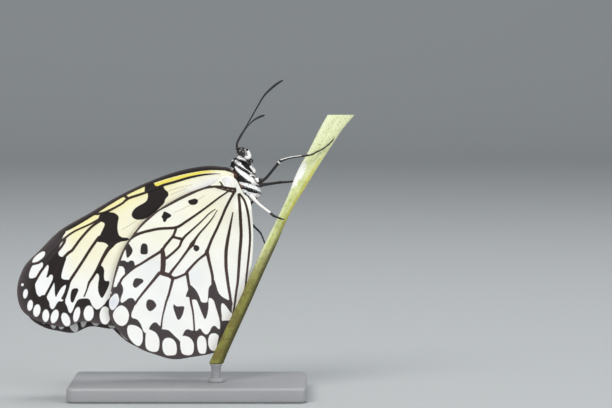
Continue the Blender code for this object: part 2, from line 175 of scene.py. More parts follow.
def finishPiece(name, bm, material, nodes=()):
    mesh = bpy.data.meshes.new(name)
    bm.to_mesh(mesh)
    bm.free()
    mesh.shade_smooth()
    mesh.materials.append(material)
    piece = bpy.data.objects.new(name, mesh)
    bpy.context.scene.collection.objects.link(piece)
    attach(piece, "root")
    if nodes:
        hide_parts(*nodes)
    return piece


def store(piece, name, values):
    values = np.ascontiguousarray(values, np.float32)
    kind, key = ("FLOAT", "value") if values.ndim == 1 else ("FLOAT_VECTOR", "vector")
    piece.data.attributes.new(name, kind, "POINT").data.foreach_set(key, values.ravel())


def loopVerts(mesh):
    verts = np.empty(len(mesh.loops), np.int32)
    mesh.loops.foreach_get("vertex_index", verts)
    return verts


def storeUv(piece, perLoop):
    layer = piece.data.uv_layers.new(name="OFBake")
    layer.data.foreach_set("uv", np.ascontiguousarray(perLoop, np.float32).ravel())


# A map keeps off the edge of its sheet, and a strip at the right of the coat's sheet holds its loose tufts.
sheet = {
    "edge": 0.02,
    "width": 0.94,
    "height": 0.96,
    "strip": (0.962, 0.995),
    "stripHeight": (0.02, 0.98),
}


def wrapMap(around, along):           # from parts of the way round a tube and along it
    return np.column_stack([sheet["edge"] + sheet["width"] * around, sheet["edge"] + sheet["height"] * along])


def stripMap(count):
    across = draw.uniform(*sheet["strip"], count)
    return np.column_stack([across, draw.uniform(*sheet["stripHeight"], count)])


def wrapUv(piece, around, along):     # closes the seam of a map that runs round a tube
    mesh = piece.data
    verts = loopVerts(mesh)
    turn, lift = around[verts], along[verts]
    for face in mesh.polygons:
        own = slice(face.loop_start, face.loop_start + face.loop_total)
        if np.ptp(turn[own]) > 0.5:
            turn[own] = np.where(turn[own] < 0.5, turn[own] + 1.0, turn[own])
    storeUv(piece, wrapMap(turn, lift))


def loft(rings):                      # a closed skin through rings of points
    bm = bmesh.new()
    ring = bmesh.ops.create_circle(bm, segments=len(rings[0]), radius=1.0)["verts"]
    edges = bm.edges[:]
    bmesh.ops.edgeloop_fill(bm, edges=edges)
    for vert, point in zip(ring, rings[0]):
        vert.co = point
    for points in rings[1:]:
        made = bmesh.ops.extrude_edge_only(bm, edges=edges)["geom"]
        fresh = {item for item in made if isinstance(item, bmesh.types.BMVert)}
        following = []
        for vert, point in zip(ring, points):
            mate = next(edge.other_vert(vert) for edge in vert.link_edges if edge.other_vert(vert) in fresh)
            mate.co = point
            following.append(mate)
        edges = [item for item in made if isinstance(item, bmesh.types.BMEdge) and set(item.verts) <= fresh]
        ring = following
    bmesh.ops.edgeloop_fill(bm, edges=edges)
    bmesh.ops.recalc_face_normals(bm, faces=bm.faces)
    return bm


def tubeFrames(route):                # the direction of a route at each of its points, and two across it
    spots = placeAll(route[:, :3])
    along = np.gradient(spots, axis=0)
    along /= np.linalg.norm(along, axis=1)[:, None]
    across = np.empty_like(along)
    last = Vector(along[0]).orthogonal()
    for i, way in enumerate(along):
        way = Vector(way)
        last = (last - way * last.dot(way)).normalized()
        across[i] = last
    return spots, along, across, np.cross(along, across)


def tubeRings(route, sides):
    spots, _, across, beside = tubeFrames(route)
    turns = np.linspace(0.0, math.tau, sides, endpoint=False)
    way = across[:, None] * np.cos(turns)[:, None] + beside[:, None] * np.sin(turns)[:, None]
    return spots[:, None] + way * route[:, 3, None, None] * mm, way


# Stage, light and camera

studio = {
    "aim": (0.0318, 0.0, 0.0519),
    "distance": 0.75,
    "elevation": 4.0,
    "lens": 163.0,
    "floor": srgb(0.66, 0.67, 0.67),
    "grainShade": 0.97,               # how bright the paper's grain is beside the rest
    "grainScale": 900.0,
    "grainDepth": 0.00003,
    "backdropStart": 1.2,
    "backdropRound": 0.5,
    "backdropTop": 1.5,
    "halfWidth": 2.6,
    "front": -2.4,
    "sky": srgb(0.80, 0.82, 0.85),
    "skyStrength": 0.75,
    # name: place, aim, size, power, colour
    "lights": {
        "keyLight": ((-0.45, -0.75, 0.75), (0.0, 0.0, 0.04), 0.55, 8.5, (1.0, 0.98, 0.95)),
        "fillLight": ((0.75, -0.55, 0.30), (0.0, 0.0, 0.05), 0.6, 4.0, (0.94, 0.97, 1.0)),
        "topLight": ((0.10, 0.25, 0.85), (0.0, 0.0, 0.05), 0.6, 4.0, (1.0, 1.0, 1.0)),
    },
}


def buildStage():
    look = Finish("studioPaper", {"Roughness": 0.9, "Specular IOR Level": 0.2})
    grain = look.noise(look.spot(), studio["grainScale"], 3.0)
    shade = tuple(part * studio["grainShade"] for part in studio["floor"][:3]) + (1.0,)
    tone = look.blend(grain, studio["floor"], shade)
    look.show(colour=tone, normal=look.bump(grain, studio["grainDepth"]))
    start, turn, top = studio["backdropStart"], studio["backdropRound"], studio["backdropTop"]
    bend = turn * math.pi / 2
    total = start - studio["front"] + bend + top
    bm = bmesh.new()
    bmesh.ops.create_grid(bm, x_segments=2, y_segments=120, size=0.5)
    for vert in bm.verts:
        run = (vert.co.y + 0.5) * total + studio["front"]
        angle = min(max((run - start) / turn, 0.0), math.pi / 2)
        over = max(run - start - bend, 0.0)
        depth = min(run, start) + turn * math.sin(angle)
        vert.co = Vector((vert.co.x * 2 * studio["halfWidth"], depth, turn * (1 - math.cos(angle)) + over))
    mesh = bpy.data.meshes.new("studioFloor")
    bm.to_mesh(mesh)
    bm.free()
    mesh.shade_smooth()
    mesh.materials.append(look.material)
    floor = bpy.data.objects.new("studioFloor", mesh)
    bpy.context.scene.collection.objects.link(floor)


def aimAt(thing, target):
    thing.rotation_euler = (Vector(target) - thing.location).to_track_quat("-Z", "Y").to_euler()


def buildStudio():
    scene = bpy.context.scene
    for name, (spot, target, size, power, colour) in studio["lights"].items():
        data = bpy.data.lights.new(name, "AREA")
        data.shape = "DISK"
        data.size = size
        data.energy = power
        data.color = colour
        lamp = bpy.data.objects.new(name, data)
        lamp.location = spot
        scene.collection.objects.link(lamp)
        aimAt(lamp, target)
    world = bpy.data.worlds.new("studioSky")
    world.use_nodes = True
    sky = world.node_tree.nodes["Background"]
    sky.inputs["Color"].default_value = studio["sky"]
    sky.inputs["Strength"].default_value = studio["skyStrength"]
    scene.world = world
    scene.view_settings.view_transform = "Standard"
    data = bpy.data.cameras.new("camera")
    data.sensor_width = 36.0
    data.lens = studio["lens"]
    camera = bpy.data.objects.new("camera", data)
    tilt = math.radians(studio["elevation"])
    aim = Vector(studio["aim"])
    camera.location = aim + Vector((0.0, -math.cos(tilt), math.sin(tilt))) * studio["distance"]
    scene.collection.objects.link(camera)
    aimAt(camera, aim)
    scene.camera = camera


# Wings

wings = {
    "cell": 0.25,                     # size of the mesh's cells
    "halfThick": 0.11,
    "veinRise": 0.15,
    "veinReach": 0.3,
    "ripple": 0.07,                   # how far the membrane waves between its veins
    "foreLayer": 0.6,
    "hindLayer": 1.65,
    "baseSpread": 2.3,
    "baseReach": 8.0,
    "leastSpread": 0.35,
    "edgeSpread": 1.5,
    "edgeSpreads": (22.0, 68.0),      # the distances from the base over which the wings part
    "abdomenBulge": 0.5,              # the hindwings bow out over the abdomen
    "abdomenOut": -0.9,
    "abdomenRadius": 1.85,
    "bulgeReach": 3.2,
    "bulgeStart": (2.0, 8.0),
    "bulgeEnd": (17.0, 27.0),
    "rootRoom": 0.68,                 # from the thorax's side to the middle of a wing root
    "foreHeld": (1.4, 3.6),           # where the body lets go of a wing, out and down
    "hindHeldOut": (0.0, 2.2),
    "hindHeldDown": (3.0, 7.0),
    "leftFore": (2.6, (0.0, 0.0)),    # how far a left wing is turned in degrees and shifted
    "leftHind": (-3.5, (0.7, 0.9)),
    "wave": (0.71, 0.33, 0.52, 0.21),     # the ripple's two waves, in radians a millimetre out and down
    "waveStart": (0.0, 1.2),
    "veinEnd": (0.0, 0.5),            # veins run out at the rim
    "rimThick": 0.55,                 # as a part of the thickness further in
    "rimRound": (0.0, 0.4),
    "rimHighlight": 0.45,                  # painted highlight along the rim: its reach, and where it grows
    "rimHighlightLeast": 0.3,
    "rimHighlightStart": (12.0, 42.0),
    "veinExtra": 0.06,                # veins and their scales are a little wider than their drawn rows
    "edgeReach": 0.6,
    "creamLeast": 0.05,
    "creamEnd": (44.0, 50.0),         # going out on the forewing
    "goldSoft": (-0.12, 0.1),
    "goldStart": (5.0, 9.0),
    "hazeRim": (0.6, 5.5),            # going in from the rim
    "hazeTip": (55.0, 66.0),          # out and down together
    "foldMost": 0.6,
    "foldSoft": (-0.14, 0.04),
    "mapRoom": (5.0, 6.5),            # from the edge of the map to the base of the wings
    "mapSize": (67.0, 56.0),
    "mapHalves": (0.49, 0.505),       # the width of the sheet for one face, and where the second one starts
}
outside = -2.0                        # depths are worked out to this far outside a shape
farAway = 9.0

thoraxShape = [                       # down, back line, belly line, half width
    (-7.5, 1.5, -1.1, 1.1), (-6.8, 2.4, -1.9, 1.75), (-5.0, 3.0, -2.95, 2.4), (-3.0, 2.9, -4.1, 2.75),
    (-0.5, 2.6, -5.2, 2.8), (1.2, 2.3, -5.8, 2.65), (2.4, 1.9, -5.95, 2.35), (3.4, 1.4, -5.2, 2.0),
    (4.1, 1.0, -3.7, 1.6), (4.7, 0.5, -2.7, 1.2),
]

foreOutline = [
    (2.6, -4.4), (4.0, -5.0), (9.5, -5.25), (17.0, -3.8), (25.0, -0.9), (33.0, 2.9), (41.0, 7.6),
    (48.5, 12.0), (54.0, 17.3), (58.4, 22.0), (60.3, 28.0), (59.2, 33.4), (55.6, 36.3), (51.6, 37.6),
    (47.2, 38.3), (42.6, 36.8), (37.6, 37.6), (32.2, 38.0), (27.8, 36.3), (21.0, 26.8), (10.0, 11.3),
    (3.4, 1.9), (1.8, -0.9), (1.7, -3.1),
]
hindOutline = [
    (0.2, -0.2), (1.0, -1.7), (2.3, -2.6), (4.0, -2.7), (5.6, -1.9), (6.8, -0.7), (8.6, 0.0), (14.0, 2.0),
    (20.0, 5.2), (25.4, 9.0), (28.8, 13.0), (31.4, 16.8), (33.4, 21.8), (34.7, 27.2), (35.5, 32.3),
    (35.3, 35.6), (33.5, 38.6), (30.9, 41.3), (27.3, 44.0), (23.0, 45.7), (18.0, 47.0), (13.0, 46.4),
    (7.2, 45.3), (5.0, 43.6), (2.6, 38.8), (-0.6, 31.3), (-2.8, 23.5), (-3.55, 14.5), (-3.2, 6.5),
    (-2.4, 3.4), (-0.9, 2.0),
]

# Veins are rows of out, down and half width. Patches are dark shapes, and windows are pale ones in the dark
# band. Cream is how yellow the wing is at most and where that fades, going down, then its strength and reach
# along the front edge. Blobs and shade are out, down, reach and strength. Haze is where the dark turns paler.
foreWing = {
    "outline": foreOutline,
    "layer": "foreLayer",
    "dark": [
        [(1.2, -3.7, 0.5), (2.6, -4.3, 0.55), (4.0, -4.7, 0.55), (9.5, -4.8, 0.72), (17.0, -3.25, 0.6),
         (25.0, -0.5, 0.42), (33.0, 3.35, 0.45), (41.0, 8.15, 0.7), (45.6, 10.7, 0.85), (47.2, 11.3, 1.0)],
        [(5.3, -3.3, 0.04), (9.4, -3.0, 0.2), (13.5, -2.2, 0.28), (17.7, -0.95, 0.3), (20.8, -0.1, 0.3)],
    ],
    "folds": [
        [(19.6, 1.6, 0.03), (16.9, 0.7, 0.05), (13.1, -0.15, 0.02)], [(18.75, 2.45, 0.03), (14.6, 0.9, 0.04)],
        [(32.0, 12.0, 0.03), (30.0, 10.8, 0.05), (28.0, 9.5, 0.03)],
    ],
    "edge": [],
    "veins": [
        [(20.8, -0.1, 0.3), (25.5, 1.9, 0.28), (30.2, 3.5, 0.3), (31.5, 4.6, 0.25), (33.5, 5.8, 0.25),
         (36.9, 7.4, 0.3), (40.1, 7.8, 0.2)],
        [(30.2, 3.5, 0.3), (31.3, 2.8, 0.3)],
        [(37.3, 8.6, 0.25), (40.3, 10.3, 0.2), (43.4, 11.7, 0.2), (45.5, 12.8, 0.22), (48.5, 15.2, 0.25),
         (53.4, 20.2, 0.3), (56.2, 21.2, 0.3)],
        [(37.5, 9.3, 0.3), (40.3, 11.3, 0.3), (43.2, 14.5, 0.3), (45.5, 17.6, 0.32), (47.4, 19.2, 0.35),
         (50.6, 26.0, 0.3), (52.4, 29.4, 0.3)],
        [(47.3, 14.6, 0.3), (48.2, 16.4, 0.3), (53.0, 22.0, 0.3), (54.9, 24.9, 0.3), (56.8, 28.6, 0.3)],
        [(38.2, 14.0, 0.35), (40.3, 16.9, 0.33), (42.6, 20.5, 0.33), (44.5, 23.4, 0.33), (46.1, 25.9, 0.33),
         (47.0, 28.6, 0.33), (48.0, 30.5, 0.33)],
        [(34.6, 16.1, 0.55), (35.7, 17.2, 0.5), (37.2, 19.7, 0.4), (38.7, 22.8, 0.36), (39.9, 24.8, 0.32),
         (40.9, 26.3, 0.26), (41.4, 28.0, 0.16), (42.2, 30.0, 0.14)],
        [(1.8, -1.6, 0.2), (10.0, 1.6, 0.3), (20.0, 7.4, 0.3), (28.5, 13.0, 0.3)],
        [(28.5, 13.0, 0.3), (32.2, 23.0, 0.3), (34.5, 33.0, 0.25)],
        [(20.0, 7.4, 0.3), (24.5, 15.0, 0.3), (29.8, 30.5, 0.25)],
        [(2.2, -0.9, 0.2), (12.0, 11.4, 0.25), (24.0, 28.6, 0.25), (28.2, 35.6, 0.25)],
    ],
    "patches": [
        [(25.0, -0.7), (23.15, -0.6), (23.0, 0.2), (20.8, 0.1), (20.5, 0.9), (19.35, 1.9), (19.35, 2.8),
         (20.3, 3.8), (20.4, 4.7), (21.8, 6.1), (23.2, 7.6), (25.2, 8.9), (26.7, 9.3), (28.2, 9.3),
         (29.2, 8.6), (29.4, 7.7), (28.7, 6.4), (27.3, 5.4), (25.9, 4.7), (25.0, 3.85), (24.9, 2.0),
         (25.85, 1.8), (25.75, 0.3), (25.4, -0.4)],
        [(37.3, 7.2), (34.5, 7.2), (33.3, 7.8), (32.7, 8.6), (33.1, 10.1), (33.2, 12.0), (32.6, 14.0),
         (30.0, 14.2), (30.0, 14.9), (32.8, 15.3), (34.5, 16.6), (35.5, 16.9), (35.7, 16.1), (37.0, 15.3),
         (38.6, 15.4), (38.3, 14.3), (37.2, 12.0), (36.4, 10.3), (37.6, 9.7), (38.4, 9.3), (38.2, 8.4)],
        [(37.6, 21.5), (36.7, 22.6), (36.9, 25.0), (36.6, 25.9), (35.2, 25.8), (35.7, 27.6), (36.8, 29.8),
         (37.5, 30.7), (38.4, 29.0), (38.5, 27.1), (38.1, 24.8), (38.4, 23.8), (39.4, 23.8), (38.6, 22.2)],
        [(45.4, 27.8), (43.5, 27.8), (44.4, 29.9), (45.2, 31.9), (45.95, 31.4), (45.9, 29.3)],
    ],
    "band": [
        (46.9, 10.0), (46.95, 12.4), (47.9, 13.8), (48.3, 15.2), (49.0, 16.8), (49.15, 18.6), (48.5, 19.3),
        (46.8, 19.2), (47.5, 21.2), (48.1, 23.2), (48.4, 24.8), (47.9, 25.4), (45.9, 25.5), (45.9, 26.6),
        (46.6, 29.0), (47.5, 31.4), (46.8, 32.7), (46.4, 34.2), (45.8, 34.7), (45.2, 33.5), (44.6, 32.0),
        (43.9, 30.8), (42.3, 30.5), (40.8, 30.6), (40.3, 32.1), (39.5, 33.2), (38.6, 33.7), (37.7, 33.0),
        (36.5, 31.9), (36.0, 30.9), (34.5, 30.0), (30.0, 32.0), (26.0, 36.0), (34.0, 42.0), (50.0, 43.0),
        (62.0, 36.0), (64.0, 20.0), (50.0, 8.0),
    ],
    "windows": [
        [(53.1, 17.6), (52.5, 18.2), (53.2, 19.5), (54.5, 20.4), (55.7, 20.9), (56.3, 20.7), (55.7, 19.5),
         (54.5, 18.4)],
        [(53.6, 20.3), (53.1, 21.4), (54.0, 23.2), (55.2, 24.8), (56.3, 25.1), (57.1, 25.0), (57.0, 23.4),
         (56.05, 21.4), (54.8, 20.7)],
        [(52.0, 21.2), (51.7, 21.9), (52.0, 23.5), (52.5, 24.9), (51.9, 24.9), (51.3, 24.0), (50.6, 24.2),
         (50.7, 25.6), (51.5, 27.4), (52.1, 29.0), (52.75, 29.6), (53.7, 29.6), (54.2, 30.2), (55.0, 29.4),
         (55.5, 26.9), (55.2, 25.1), (54.0, 23.3), (52.9, 21.7)],
        [(46.9, 26.6), (47.9, 27.2), (48.6, 28.0), (49.3, 29.2), (49.9, 30.5), (50.15, 29.0), (50.15, 27.5),
         (50.3, 26.0), (50.8, 26.8), (51.5, 28.5), (52.2, 29.6), (52.3, 30.5), (51.6, 31.5), (51.5, 32.8),
         (50.9, 33.6), (50.2, 33.1), (49.6, 31.8), (49.0, 31.2), (48.1, 31.4), (47.7, 30.8), (47.6, 29.0)],
        [(46.5, 12.7), (47.2, 13.0), (48.0, 14.3), (47.5, 14.5), (46.6, 13.4)],
    ],
    # centre, half widths across and along, lean of the long way towards the tips
    "spots": [
        ((58.85, 26.8), (0.35, 0.4), 0.0), ((58.06, 29.24), (0.62, 1.3), 0.17),
        ((56.8, 32.4), (0.74, 1.5), 0.15), ((55.0, 33.8), (0.95, 1.7), 0.17),
        ((52.6, 35.2), (0.92, 1.7), 0.05), ((50.2, 35.4), (0.98, 1.9), 0.3),
        ((47.2, 36.3), (1.1, 1.95), -0.35), ((44.25, 34.9), (0.85, 2.1), 0.23),
        ((41.0, 34.6), (1.35, 2.1), 0.05), ((36.6, 35.2), (1.45, 2.45), 0.0),
        ((32.0, 35.0), (1.4, 2.2), -0.2),
    ],
    "cream": [(0.40, 18.0, 30.0), (0.55, 3.6)],
    "blobs": [(5.0, -0.5, 6.0, -0.6), (12.0, 1.5, 4.0, -0.25)],
    "haze": (24.0, 40.0),
    "hazeMost": 0.35,
    "rimHaze": 0.85,
    "shade": [],
}
hindWing = {
    "outline": hindOutline,
    "layer": "hindLayer",
    "dark": [],
    "folds": [[(9.5, 2.6, 0.03), (14.0, 5.5, 0.04), (18.0, 7.4, 0.02)]],
    "edge": [(8.6, 0.0, 0.15), (14.0, 2.0, 0.3), (20.0, 5.2, 0.34), (25.4, 9.0, 0.46), (28.8, 13.0, 0.52),
             (31.4, 16.8, 0.52), (33.4, 21.8, 0.5), (34.7, 27.2, 0.45)],
    "veins": [
        [(1.3, 0.75, 0.3), (3.0, 0.55, 0.28), (4.4, 0.3, 0.3), (6.5, 0.17, 0.28), (8.6, 0.4, 0.25),
         (10.6, 1.0, 0.22), (12.7, 1.95, 0.2), (15.8, 3.4, 0.22), (20.0, 5.6, 0.22), (22.0, 6.7, 0.2),
         (24.7, 8.9, 0.24), (27.0, 11.1, 0.22), (28.7, 13.1, 0.26), (30.1, 15.0, 0.25), (31.2, 17.0, 0.22),
         (32.6, 20.3, 0.26), (33.1, 22.1, 0.25), (33.8, 24.2, 0.22), (34.3, 26.0, 0.22), (34.7, 28.4, 0.25)],
        [(5.45, -1.2, 0.1), (5.0, -0.75, 0.16), (4.6, 0.0, 0.2)],
        [(6.4, 0.45, 0.1), (3.4, 1.15, 0.2), (1.9, 1.5, 0.28)],
        [(2.95, 1.3, 0.15), (5.45, 3.0, 0.2), (7.5, 4.6, 0.22), (10.0, 6.5, 0.24), (12.1, 8.0, 0.26),
         (14.8, 9.85, 0.3), (17.3, 11.3, 0.33), (21.5, 11.6, 0.33), (24.0, 12.05, 0.33), (26.55, 12.7, 0.33),
         (28.5, 13.5, 0.35), (29.8, 14.5, 0.35)],
        [(17.3, 11.3, 0.33), (17.9, 13.3, 0.3), (20.25, 16.2, 0.33), (21.3, 17.65, 0.33), (24.4, 19.6, 0.3),
         (26.9, 21.2, 0.27), (28.9, 22.3, 0.3), (31.05, 24.2, 0.25), (32.1, 25.4, 0.25), (32.5, 26.3, 0.3)],
        [(18.25, 13.8, 0.3), (17.0, 14.15, 0.3), (15.6, 14.5, 0.35)],
        [(6.7, 6.3, 0.07), (8.4, 7.55, 0.12), (10.2, 9.4, 0.15), (12.7, 11.7, 0.2), (15.0, 13.8, 0.28),
         (15.9, 15.2, 0.3), (16.3, 16.3, 0.28), (17.9, 17.95, 0.27), (19.9, 19.6, 0.3)],
        [(6.1, 6.5, 0.05), (7.5, 8.8, 0.12), (9.0, 10.7, 0.17), (11.05, 13.0, 0.22), (12.3, 14.8, 0.33),
         (12.9, 15.8, 0.6), (13.75, 16.9, 0.33), (15.0, 18.6, 0.28), (16.7, 20.9, 0.25), (18.3, 22.9, 0.3),
         (18.9, 23.8, 0.35)],
        [(21.0, 17.3, 0.45), (20.8, 19.0, 0.6), (20.8, 21.5, 0.65), (21.0, 23.3, 0.6)],
        [(21.5, 23.6, 0.5), (20.4, 23.9, 0.55), (19.2, 24.3, 0.5), (18.3, 25.0, 0.42), (17.3, 24.95, 0.3),
         (15.0, 24.0, 0.28), (14.3, 23.5, 0.33)],
        [(21.9, 23.7, 0.4), (23.7, 25.9, 0.33), (25.1, 27.6, 0.3), (26.4, 29.2, 0.27), (27.8, 31.0, 0.24),
         (28.4, 32.0, 0.25)],
        [(18.2, 25.2, 0.4), (18.8, 27.6, 0.3), (19.4, 29.75, 0.27), (20.0, 31.4, 0.23), (20.4, 33.0, 0.2),
         (20.9, 35.0, 0.16), (21.15, 36.4, 0.16), (21.35, 38.4, 0.2)],
        [(1.3, 1.3, 0.35), (2.3, 3.0, 0.3), (3.8, 5.9, 0.3), (5.0, 8.8, 0.3), (6.3, 11.7, 0.3),
         (7.7, 14.6, 0.32), (8.6, 16.9, 0.36), (9.0, 18.0, 0.5)],
        [(9.0, 18.2, 0.4), (9.6, 18.7, 0.3), (11.7, 20.4, 0.27), (14.4, 23.35, 0.33)],
        [(14.4, 23.4, 0.38), (14.1, 25.4, 0.33), (13.7, 28.0, 0.3), (13.3, 31.5, 0.25), (12.8, 34.0, 0.2),
         (12.5, 37.2, 0.18), (12.4, 39.3, 0.2)],
        [(8.8, 18.4, 0.42), (8.4, 20.4, 0.36), (7.95, 22.3, 0.33), (7.5, 24.4, 0.33), (7.3, 28.0, 0.3),
         (6.6, 31.6, 0.3), (5.75, 34.5, 0.28), (5.3, 36.3, 0.26), (5.15, 38.5, 0.26), (6.2, 44.2, 0.2)],
        [(1.9, 7.1, 0.1), (2.3, 9.2, 0.2), (2.95, 12.5, 0.32), (3.4, 15.0, 0.39), (3.8, 17.95, 0.41),
         (3.8, 22.1, 0.39), (3.5, 24.7, 0.36), (3.15, 27.4, 0.34), (2.7, 30.1, 0.31), (2.4, 32.1, 0.3)],
        [(0.35, 2.35, 0.3), (0.04, 5.5, 0.35), (-0.17, 9.6, 0.38), (-0.27, 13.8, 0.38), (0.15, 19.0, 0.36),
         (0.6, 25.6, 0.3), (1.0, 28.3, 0.27), (1.6, 32.8, 0.22), (2.1, 35.4, 0.16)],
        [(0.04, 2.15, 0.2), (-1.2, 4.0, 0.26), (-2.0, 6.5, 0.27), (-2.45, 9.6, 0.26), (-2.7, 13.8, 0.26),
         (-2.45, 17.9, 0.25), (-1.7, 24.7, 0.22), (-1.4, 27.4, 0.2), (-0.6, 30.5, 0.16)],
    ],
    "patches": [
        [(14.1, 4.0), (13.1, 3.7), (12.1, 3.4), (11.2, 3.9), (11.6, 5.0), (12.9, 5.3), (13.9, 4.8)],
        [(20.6, 6.9), (19.9, 7.1), (18.6, 7.8), (18.5, 8.4), (19.7, 8.9), (20.1, 9.9), (20.8, 9.8),
         (20.8, 9.0), (21.3, 8.5), (20.9, 7.8)],
        [(26.7, 15.8), (25.8, 15.5), (25.0, 16.0), (24.9, 17.9), (25.1, 18.6), (26.8, 18.6), (27.0, 17.7)],
        [(30.5, 15.1), (29.8, 16.0), (28.95, 17.3), (29.2, 18.4), (30.5, 19.8), (30.8, 18.7), (30.8, 17.5),
         (31.2, 16.7)],
        [(32.7, 20.4), (31.4, 20.1), (30.3, 20.8), (29.8, 20.2), (28.7, 20.3), (28.5, 21.3), (28.2, 22.3),
         (29.4, 23.2), (31.05, 24.3), (31.3, 21.9), (33.0, 21.7)],
        [(28.5, 25.05), (27.6, 25.0), (26.2, 25.3), (26.1, 26.1), (27.1, 26.8), (28.1, 27.7), (28.8, 27.5),
         (29.1, 26.6)],
        [(32.5, 25.6), (32.1, 26.5), (31.6, 27.6), (31.6, 28.7), (32.1, 29.9), (32.4, 31.3), (32.8, 30.3),
         (33.0, 29.4), (33.6, 28.8), (34.3, 29.6), (34.9, 29.4), (34.6, 27.4), (33.4, 27.4), (33.1, 26.5)],
        [(25.2, 31.0), (24.6, 30.7), (23.4, 31.0), (22.5, 32.4), (23.2, 33.3), (24.2, 34.1), (25.1, 33.6),
         (25.5, 32.3)],
        [(18.1, 31.9), (17.2, 32.75), (16.3, 32.65), (15.1, 32.6), (15.2, 33.7), (15.6, 35.1), (16.4, 36.4),
         (17.0, 36.3), (17.6, 34.6), (18.1, 33.2)],
        [(12.6, 16.2), (11.8, 16.0), (11.0, 16.5), (11.0, 17.4), (11.8, 17.9), (12.6, 17.4)],
        [(14.8, 30.2), (14.5, 29.2), (13.95, 27.95), (13.9, 27.0), (13.4, 26.8), (12.3, 27.9), (11.8, 28.5),
         (11.0, 30.1), (10.6, 31.5), (9.8, 31.7), (8.8, 31.6), (8.7, 29.9), (8.6, 28.1), (8.2, 27.0),
         (7.6, 26.8), (7.5, 25.2), (7.1, 25.2), (6.6, 26.5), (6.0, 28.85), (4.95, 30.1), (3.3, 31.0),
         (2.9, 30.9), (2.2, 32.1), (2.2, 33.2), (2.3, 34.8), (2.95, 33.9), (3.7, 32.8), (4.6, 31.8),
         (5.1, 31.9), (5.2, 33.5), (4.9, 36.0), (5.4, 36.1), (5.9, 34.6), (6.3, 33.2), (6.8, 31.7),
         (7.5, 30.7), (8.2, 30.3), (8.6, 30.7), (8.55, 32.1), (8.6, 33.5), (9.0, 35.3), (9.5, 36.4),
         (10.1, 35.2), (10.6, 33.9), (11.2, 32.45), (11.6, 31.3), (12.15, 30.75), (12.8, 30.9),
         (13.1, 30.7), (13.9, 30.1)],
    ],
    "band": [
        (38.0, 29.0), (34.8, 29.2), (34.3, 29.5), (33.6, 28.9), (32.9, 29.4), (32.4, 31.0), (32.1, 31.8),
        (31.2, 31.3), (30.0, 30.35), (28.9, 30.4), (28.2, 31.5), (28.7, 33.0), (29.4, 34.4), (29.4, 35.8),
        (27.8, 36.1), (26.9, 37.4), (26.35, 38.9), (26.1, 39.5), (25.7, 39.9), (25.3, 39.7), (24.7, 38.9),
        (24.4, 38.0), (23.5, 37.0), (22.6, 37.0), (21.9, 37.9), (21.3, 38.0), (21.3, 38.9), (20.2, 38.9),
        (19.2, 39.2), (18.4, 40.0), (17.2, 41.2), (16.6, 41.7), (16.3, 42.2), (16.0, 41.7), (15.7, 40.8),
        (15.0, 39.2), (14.3, 38.8), (13.2, 39.2), (12.5, 39.3), (11.6, 39.3), (10.9, 38.4), (10.0, 39.9),
        (9.1, 40.4), (8.4, 39.8), (7.65, 38.1), (6.75, 37.9), (6.0, 38.8), (5.4, 38.9), (5.3, 36.6),
        (3.4, 36.5), (1.0, 36.6), (0.0, 40.0), (4.0, 48.0), (12.0, 50.0), (24.0, 49.0), (38.0, 43.0),
    ],
    "windows": [
        [(34.3, 29.6), (33.6, 29.1), (32.9, 29.5), (32.6, 31.2), (33.4, 32.7), (34.5, 33.9), (35.3, 32.9),
         (35.5, 31.4), (35.0, 30.3)],
        [(32.1, 32.2), (30.7, 33.1), (30.0, 34.6), (30.1, 36.0), (30.7, 37.4), (31.95, 38.1), (33.4, 37.4),
         (34.4, 35.7), (34.4, 34.4), (33.4, 32.9)],
        [(29.9, 37.6), (28.6, 37.7), (27.3, 38.3), (26.4, 39.4), (26.3, 41.5), (26.7, 42.9), (27.45, 43.5),
         (28.5, 43.0), (29.9, 41.5), (30.6, 39.7), (30.5, 38.1)],
        [(24.0, 39.1), (22.7, 39.8), (21.9, 41.3), (21.8, 43.0), (22.1, 44.6), (22.9, 45.1), (24.4, 44.8),
         (25.5, 44.1), (25.7, 42.5), (25.6, 40.5), (25.3, 39.2), (24.8, 38.8)],
        [(19.25, 41.1), (18.1, 41.6), (17.3, 42.7), (17.1, 44.4), (17.3, 45.8), (18.8, 46.0), (20.3, 45.9),
         (21.0, 44.6), (21.1, 43.0), (20.9, 41.9), (20.2, 41.3)],
        [(15.7, 40.65), (14.6, 40.7), (13.5, 41.2), (12.6, 42.4), (12.5, 44.0), (12.8, 45.6), (14.0, 46.0),
         (15.6, 45.7), (16.1, 44.6), (16.25, 43.0), (16.2, 41.5)],
        [(10.5, 40.5), (9.6, 41.0), (9.2, 42.0), (9.05, 43.6), (9.3, 45.4), (10.2, 45.6), (11.2, 45.3),
         (11.6, 43.8), (11.7, 42.3), (11.4, 41.0)],
        [(7.2, 39.9), (6.1, 40.2), (5.4, 41.5), (5.5, 42.9), (6.2, 44.4), (7.1, 44.85), (8.1, 44.5),
         (8.65, 43.2), (8.7, 41.6), (8.3, 40.3)],
    ],
    "spots": [],
    "cream": [(0.12, 14.0, 30.0), (0.0, 3.6)],
    "blobs": [(9.0, 5.0, 7.0, 0.24), (22.0, 14.0, 6.0, 0.14), (8.0, 10.0, 6.0, 0.06)],
    "haze": (8.0, 30.0),
    "hazeMost": 1.0,
    "rimHaze": 0.2,
    "shade": [
        (34.3, 31.6, 1.7, 0.9), (12.0, 24.0, 3.5, 0.35), (24.0, 22.0, 4.5, 0.4), (20.0, 34.0, 6.0, 0.2),
    ],
}
frontEdge = np.array(foreOutline[1:8])
goldStripe = [(5.0, -3.75, 0.1), (9.4, -3.7, 0.3), (17.7, -1.75, 0.42), (23.2, 0.05, 0.42)]


